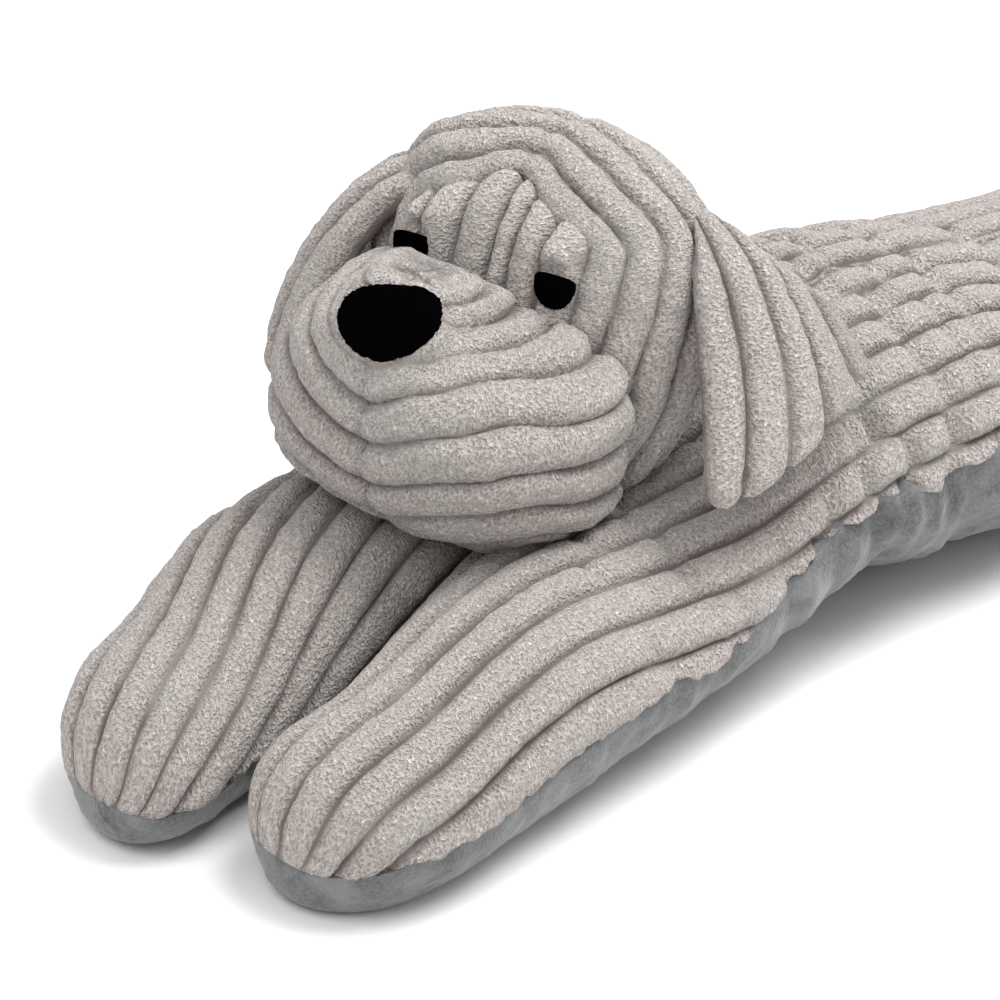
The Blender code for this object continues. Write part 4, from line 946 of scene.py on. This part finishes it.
def make_muzzle_half(name, side, material):
    """Half the muzzle: level slices from its front's middle round to the face, then along its back."""
    heights, front, rear, tuck, half_width, rise = muzzle_slices(side)
    low = MUZZLE[0][0]
    angle = np.linspace(0, math.pi / 2, ARC_COUNT)[None, :]
    crown_share, swell = muzzle_bands(heights, angle, side)
    rear = rear + BAND_END * (1 - crown_share) * ramp(heights, *BAND_END_AT)
    out_b = np.sin(angle) ** (2 / MUZZLE_BLUNTNESS)
    out_a = np.abs(np.cos(angle)) ** (2 / MUZZLE_BLUNTNESS)
    level = heights - TOP_FALL * ramp(heights, *TOP_FALL_AT)
    lifted = rise * (1 - out_a) ** RISE_CURVE * (RISE_INSIDE + (1 - RISE_INSIDE) * out_b)
    plain = joined(rear + (front - rear) * out_a, half_width * out_b, level + lifted)
    normal = unit(np.cross(np.gradient(plain, axis=1), np.gradient(plain, axis=0)))
    b, along, _ = nose_frame(*parted(plain))
    off_nose = np.hypot(b / NOSE_HALF_WIDTH, along / NOSE_HALF_HEIGHT)
    flat = relief(PLAIN_CROWN)
    swell = flat + (swell - flat) * ramp(off_nose, *PLAIN_AT)
    swell = swell - SEAM_DEPTH * bell(plain[..., 1], 0, SEAM_WIDTH)
    swelled = plain + swell[..., None] * normal
    a, b, z = seat_nose(*parted(swelled))
    b = np.where(angle < TINY, -HALF_LAP, np.maximum(b, -HALF_LAP))
    arc = pressed_on_body(muzzle_to_floor(a, side * b, z), low)
    rear, end_b, end_z = rear[:, -1:], swelled[:, -1:, 1], swelled[:, -1:, 2]
    tucked = half_width * (1 - TUCK_SHARE)
    bend = np.linspace(0, math.pi / 2, TUCK_COUNT + 1)[None, 1:]
    tuck_b = tucked + (end_b - tucked) * np.cos(bend)
    back_b = tucked * (1 - np.arange(1, BACK_COUNT + 1) / BACK_COUNT)[None, :]
    b = np.maximum(np.hstack([tuck_b, back_b]), -HALF_LAP)
    reach = rear - tuck * np.hstack([np.sin(bend), np.ones((1, BACK_COUNT))])
    seated = pressed_on_body(muzzle_to_floor(reach, side * b, end_z), low)
    a = np.maximum(skull_front_at(b, seated[..., 2]), reach)
    behind = pressed_on_body(muzzle_to_floor(a, side * b, end_z), low)
    points = np.concatenate([arc, behind], axis=1)
    rows, columns = points.shape[:2]
    steps = np.linalg.norm(np.diff(points, axis=1), axis=-1)
    along = np.concatenate([np.zeros((rows, 1)), np.cumsum(steps, axis=1)], axis=1)
    crowns = np.concatenate([crown_share, crown_share[:, -1:] + 0 * b], axis=1)
    pile = joined(along + MUZZLE_PILE_START, heights, crowns)
    faces = closed_faces(rows, columns)
    firm = np.zeros((rows, columns))
    firm[:, : len(MUZZLE_FIRM)] = MUZZLE_FIRM
    firm[:, -2:] = 1
    return make_mesh(name, points, faces, pile, material, lump=MUZZLE_LUMP, firm=firm)


def make_patch(name, outline, to_floor, thickness, material):
    """A thin domed patch of cloth with a slightly ragged cut edge."""
    turns = np.linspace(0, 2 * math.pi, PATCH_TURNS, endpoint=False)
    shares, heights = np.array(PATCH_SHARES)[:, None], np.array(PATCH_HEIGHTS)[:, None]
    x, y = outline(turns)
    ragged = 1 + PATCH_RAGGED * line_noise(turns * PATCH_RAGGED_TURN, 51)
    points = to_floor(x * shares * ragged, y * shares * ragged, thickness * heights + 0 * x)
    faces = closed_faces(len(shares), PATCH_TURNS)
    pile = joined(x * shares, y * shares, 1.0)
    return make_mesh(name, points, faces, pile, material, tuft=PATCH_TUFT, lump=0)


def nose_outline(turns):
    """The nose's outline: wide and flat above, narrowing to a blunt point below."""
    up = np.sin(turns)
    squareness = np.where(up > 0, *NOSE_SQUARENESS)
    across = NOSE_HALF_WIDTH * signed_power(np.cos(turns), squareness)
    along = NOSE_HALF_HEIGHT * signed_power(up, squareness) * np.where(up > 0, *NOSE_REACHES)
    across = across * np.where(up > 0, 1 - NOSE_NARROWING * up**2, 1.0)
    cos, sin = math.cos(NOSE_TURN), math.sin(NOSE_TURN)
    return across * cos - along * sin, across * sin + along * cos


def nose_place(across, along, out):
    return muzzle_to_floor(*from_nose_frame(across + NOSE_ASIDE, along, out + GAP))


def eye_outline(turns):
    """Half an oval with a nearly straight upper edge."""
    up = np.sin(turns)
    across = EYE_WIDER * EYE_HALF_WIDTH * signed_power(np.cos(turns), np.where(up > 0, *EYE_CORNERS))
    rise, drop = EYE_TOP * np.abs(up) ** EYE_TOP_CURVE, EYE_BOTTOM * np.abs(up) ** EYE_BOTTOM_CURVE
    return across, EYE_HALF_HEIGHT * np.where(up > 0, rise, -drop)


def eye_place(side):
    def place(across, along, out):
        return skull_to_floor(EYE_SEAT + out, side * EYE_SPACING + across, EYE_RISE + EYE_LIFT + along)

    return place


def off_skull(a, b, z):
    """Moves points straight out of the skull until they clear its ribs."""
    forward, up = a + SKULL_BACK_FROM_FRONT, z - SKULL_Z
    n = forward * math.cos(SKULL_LEAN) + up * math.sin(SKULL_LEAN)
    m = up * math.cos(SKULL_LEAN) - forward * math.sin(SKULL_LEAN)
    room = EAR_OFF_SKULL + RIB_ROOM
    reach = np.where(n > 0, SKULL_FRONT, SKULL_REAR)
    height = np.where(m > 0, SKULL_HALF_HEIGHT, SKULL_DROP)
    across = np.hypot(b / (SKULL_HALF_WIDTH + room), m / (height + room))
    off = np.minimum(np.hypot(n / (reach + room), across), 1.0)
    a, z = skull_to_head(n / off, m / off)
    return joined(a, b / off, z)


def make_ear(name, rows, side, material):
    """A padded flap with ribs on its outer face, from its top edge to its rounded lower ends."""
    table = Table(rows, EAR_COLUMNS)
    width = table.places[-1]
    across = np.linspace(0, width, EAR_FINE * (len(rows) - 1) + 1)
    rib, share = between(across, table.places)
    crown_share = crest(share)
    t = 0.5 - 0.5 * np.cos(np.linspace(0, math.pi, EAR_LENGTHS + 1))[None, :]
    top, mid, low = (
        joined(*(table.read(f"{level}_{axis}", across) for axis in "abz"))[:, None, :]
        for level in ("top", "mid", "low")
    )
    length = EAR_LENGTH + EAR_SCALLOP * crown_share + EAR_UNEVEN * line_noise(rib * EAR_STRIDE, 61)
    s = (t * length[:, None])[..., None]
    sheet = top * (1 - s) * (1 - 2 * s) + mid * 4 * s * (1 - s) + low * s * (2 * s - 1)
    normal = unit(np.cross(np.gradient(sheet, axis=0), np.gradient(sheet, axis=1)))
    normal *= np.where(normal[..., 1:2] < 0, -1, 1)
    edge = np.minimum(np.minimum(across, width - across), EAR_EDGE)[:, None] / EAR_EDGE
    ends = np.minimum(np.minimum(t / EAR_TOP_FIRMNESS, 1 - t), EAR_END) / EAR_END
    round_off = np.sqrt(np.maximum(0.0, 1 - (1 - np.minimum(edge, ends)) ** 2))
    half = EAR_THICKNESS / 2 * (EAR_EDGE_SHARE + (1 - EAR_EDGE_SHARE) * round_off)
    puff = 1 + PUFF_SPREAD * line_noise(t * EAR_PUFF + RIB_STRIDE * rib[:, None], 63 + side)
    swell = relief(crown_share)[:, None] * puff * round_off
    inner = off_skull(*parted(sheet - half[..., None] * normal))
    sunk = EAR_SINK * ramp(t, *EAR_SINK_AT) ** EAR_SINK_CURVE
    inner = inner - sunk[..., None] * normal
    a, b, z = parted(inner)
    seated = above_body(head_to_floor(a, side * b, z))
    lift = seated[..., 2] - z
    a, b, z = parted(inner + (2 * half + swell)[..., None] * normal)
    outer = head_to_floor(a, side * b, z + lift)
    pile = joined(t * EAR_PILE, across[:, None], crown_share[:, None])
    return make_sheet(name, outer, seated, pile, material, lump=EAR_LUMP)


class Shader:
    """A material, and short ways to add nodes to it. An input is a value or another node's socket."""

    def __init__(self, name, settings):
        self.material = bpy.data.materials.new(name)
        self.material.use_nodes = True
        self.tree = self.material.node_tree
        self.fill(self.tree.nodes["Principled BSDF"], settings)

    def fill(self, node, inputs):
        for word, value in inputs.items():
            if isinstance(value, bpy.types.NodeSocket):
                self.tree.links.new(value, node.inputs[word])
            else:
                node.inputs[word].default_value = value

    def add(self, kind, output, inputs, **settings):
        """A new node's output socket."""
        node = self.tree.nodes.new("ShaderNode" + kind)
        for word, value in settings.items():
            setattr(node, word, value)
        self.fill(node, inputs)
        return node.outputs[output]

    def place(self):
        return self.add("TexCoord", "Object", {})

    def mix(self, share, low, high):
        """A colour that goes from low, which may be a socket, to high."""
        low = (*low, 1) if isinstance(low, tuple) else low
        return self.add("Mix", "Result", {"Factor": share, "A": low, "B": (*high, 1)}, data_type="RGBA")

    def noise(self, vector, scale, detail=2.0, roughness=0.5):
        inputs = {"Vector": vector, "Scale": scale, "Detail": detail, "Roughness": roughness}
        return self.add("TexNoise", "Fac", inputs)

    def remap(self, value, low, high, new_high=1.0):
        inputs = {"Value": value, "From Min": low, "From Max": high, "To Max": new_high}
        return self.add("MapRange", "Result", inputs)

    def math(self, operation, first, second):
        return self.add("Math", "Value", {0: first, 1: second}, operation=operation)

    def finish(self, colour, bumps):
        """Gives the colour and the bumps, each a height, its depth and its strength, to the material."""
        inputs = {}
        for height, depth, strength in bumps:
            inputs.update({"Height": height, "Distance": depth, "Strength": strength})
            inputs["Normal"] = self.add("Bump", "Normal", inputs)
        self.fill(self.tree.nodes["Principled BSDF"], {"Base Color": colour, "Normal": inputs["Normal"]})
        return self.material


def cord_material():
    """Cord plush: pale crown tips, tufts in rows across each rib, and painted shade in the grooves."""
    looks = {"Roughness": 0.95, "Specular IOR Level": 0.15, "Sheen Weight": 0.3, "Sheen Roughness": 0.5}
    shader = Shader("cord_plush", {**looks, "Sheen Tint": (0.95, 0.93, 0.9, 1)})
    pile, place = shader.add("Attribute", "Vector", {}, attribute_name="pile"), shader.place()
    crown = shader.add("SeparateXYZ", "Z", {"Vector": pile})
    stretched = shader.add("Mapping", "Vector", {"Vector": pile, "Scale": CORD_ROW_SCALE})
    rows, clumps = shader.noise(stretched, 1.0, 2.5, 0.6), shader.noise(place, CLUMP_SCALE, 1.5, 0.55)
    tufts = shader.remap(shader.math("ADD", rows, clumps), *TUFT_RANGE)
    height = shader.math("MULTIPLY", tufts, shader.remap(crown, *PILE_RANGE))
    # Painted shade: the colour darkens from each rib's crown into its grooves.
    colour = shader.mix(shader.remap(crown, *LIT_RANGE), CORD_GROOVE_SHADE, CORD_MIDDLE)
    patches = shader.remap(shader.noise(place, MOTTLE_SCALE), *MOTTLE_RANGE, MOTTLE)
    colour = shader.mix(patches, colour, CORD_GREENISH)
    colour = shader.mix(shader.math("MULTIPLY", height, TIPS), colour, CORD_LIGHT)
    fibres = shader.noise(place, FIBRE_SCALE, 1.0)
    return shader.finish(colour, ((fibres, FIBRE_DEPTH, 1.0), (height, TUFT_DEPTH, 1.0)))


def velour_material():
    """The underside: grey short-pile velour, with soft mottling and a faint nap."""
    looks = {"Roughness": 0.9, "Specular IOR Level": 0.2, "Sheen Weight": 0.35, "Sheen Roughness": 0.4}
    shader = Shader("underside_velour", looks)
    place = shader.place()
    patches = shader.noise(place, VELOUR_PATCH_SCALE, 3.0, 0.6)
    nap = shader.noise(place, VELOUR_NAP_SCALE, 2.0, 0.6)
    colour = shader.mix(shader.remap(patches, *VELOUR_PATCH_RANGE), VELOUR_DARK, VELOUR_PALE)
    colour = shader.mix(shader.remap(nap, *VELOUR_NAP_RANGE, VELOUR_NAP_SHARE), colour, VELOUR_NAP)
    return shader.finish(colour, ((nap, VELOUR_NAP_DEPTH, NAP_STRENGTH),))


def black_material():
    """The nose and the eyes: short black velour."""
    looks = {"Roughness": 0.85, "Specular IOR Level": 0.0, "Sheen Weight": 0.0}
    shader = Shader("black_velour", looks)
    nap = shader.noise(shader.place(), BLACK_NAP_SCALE, 2.0, 0.6)
    colour = shader.mix(nap, BLACK_DEEP, BLACK_NAP)
    return shader.finish(colour, ((nap, BLACK_NAP_DEPTH, NAP_STRENGTH),))


def place_floor():
    """A pale floor whose edges lie far outside the view."""
    mesh = bpy.data.meshes.new("floor")
    corners = [(x * FLOOR_REACH, y * FLOOR_REACH, 0) for x, y in ((-1, -1), (1, -1), (1, 1), (-1, 1))]
    mesh.from_pydata(corners, [], [(0, 1, 2, 3)])
    shader = Shader("floor_white", {"Base Color": (*FLOOR_COLOUR, 1), "Roughness": 0.9})
    mesh.materials.append(shader.material)
    add_object("floor", mesh)


def place_lights():
    """A white surround with two large soft lamps."""
    world = bpy.data.worlds.new("studio")
    world.use_nodes = True
    background = world.node_tree.nodes["Background"]
    background.inputs["Color"].default_value = (1, 1, 1, 1)
    background.inputs["Strength"].default_value = WORLD_STRENGTH
    bpy.context.scene.world = world
    for name, azimuth, elevation, distance, size, power in LAMPS:
        lamp = bpy.data.lights.new(name, "AREA")
        lamp.size = size
        lamp.energy = power
        aim_from(add_object(name, lamp), azimuth, elevation, distance)


def aim_from(obj, azimuth, elevation, distance):
    """Puts an object at a bearing from -Y, a height and a distance from the view's target, facing it."""
    az, el = math.radians(azimuth), math.radians(elevation)
    away = Vector((math.sin(az) * math.cos(el), -math.cos(az) * math.cos(el), math.sin(el)))
    obj.location = Vector(VIEW_TARGET) + distance * away
    obj.rotation_euler = (-away).to_track_quat("-Z", "Y").to_euler()


def place_camera():
    camera = bpy.data.cameras.new("camera")
    camera.lens = VIEW_LENS
    camera.sensor_width = SENSOR
    camera.sensor_fit = "HORIZONTAL"
    camera.clip_end = VIEW_END
    obj = add_object("camera", camera)
    aim_from(obj, VIEW_AZIMUTH, VIEW_ELEVATION, VIEW_DISTANCE)
    bpy.context.scene.camera = obj


def dress(piece, node):
    """Hangs a stuffed piece on the one body and hides the model's node that it stands for."""
    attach(piece, "root")
    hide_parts(node)


place_camera()
place_floor()
place_lights()
bpy.context.scene.view_settings.view_transform = "Standard"

cord, velour, black = cord_material(), velour_material(), black_material()
dress(make_body("cord_top", cord_row, cord), "body_top")
dress(make_body("smooth_underside", base_row, velour), "body_underside")
for word, side, ear in (("left", 1, LEFT_EAR), ("right", -1, RIGHT_EAR)):
    dress(make_head_side(f"cord_head_{word}", side, cord), f"head_side_{word}")
    dress(make_muzzle_half(f"cord_muzzle_{word}", side, cord), f"muzzle_{word}")
    dress(make_ear(f"cord_ear_{word}", ear, side, cord), f"ear_{word}")
    eye = make_patch(f"velour_eye_{word}", eye_outline, eye_place(side), EYE_THICKNESS, black)
    dress(eye, f"eye_{word}")
dress(make_face_panel("cord_face", cord), "face_panel")
dress(make_patch("velour_nose", nose_outline, nose_place, NOSE_THICKNESS, black), "nose")
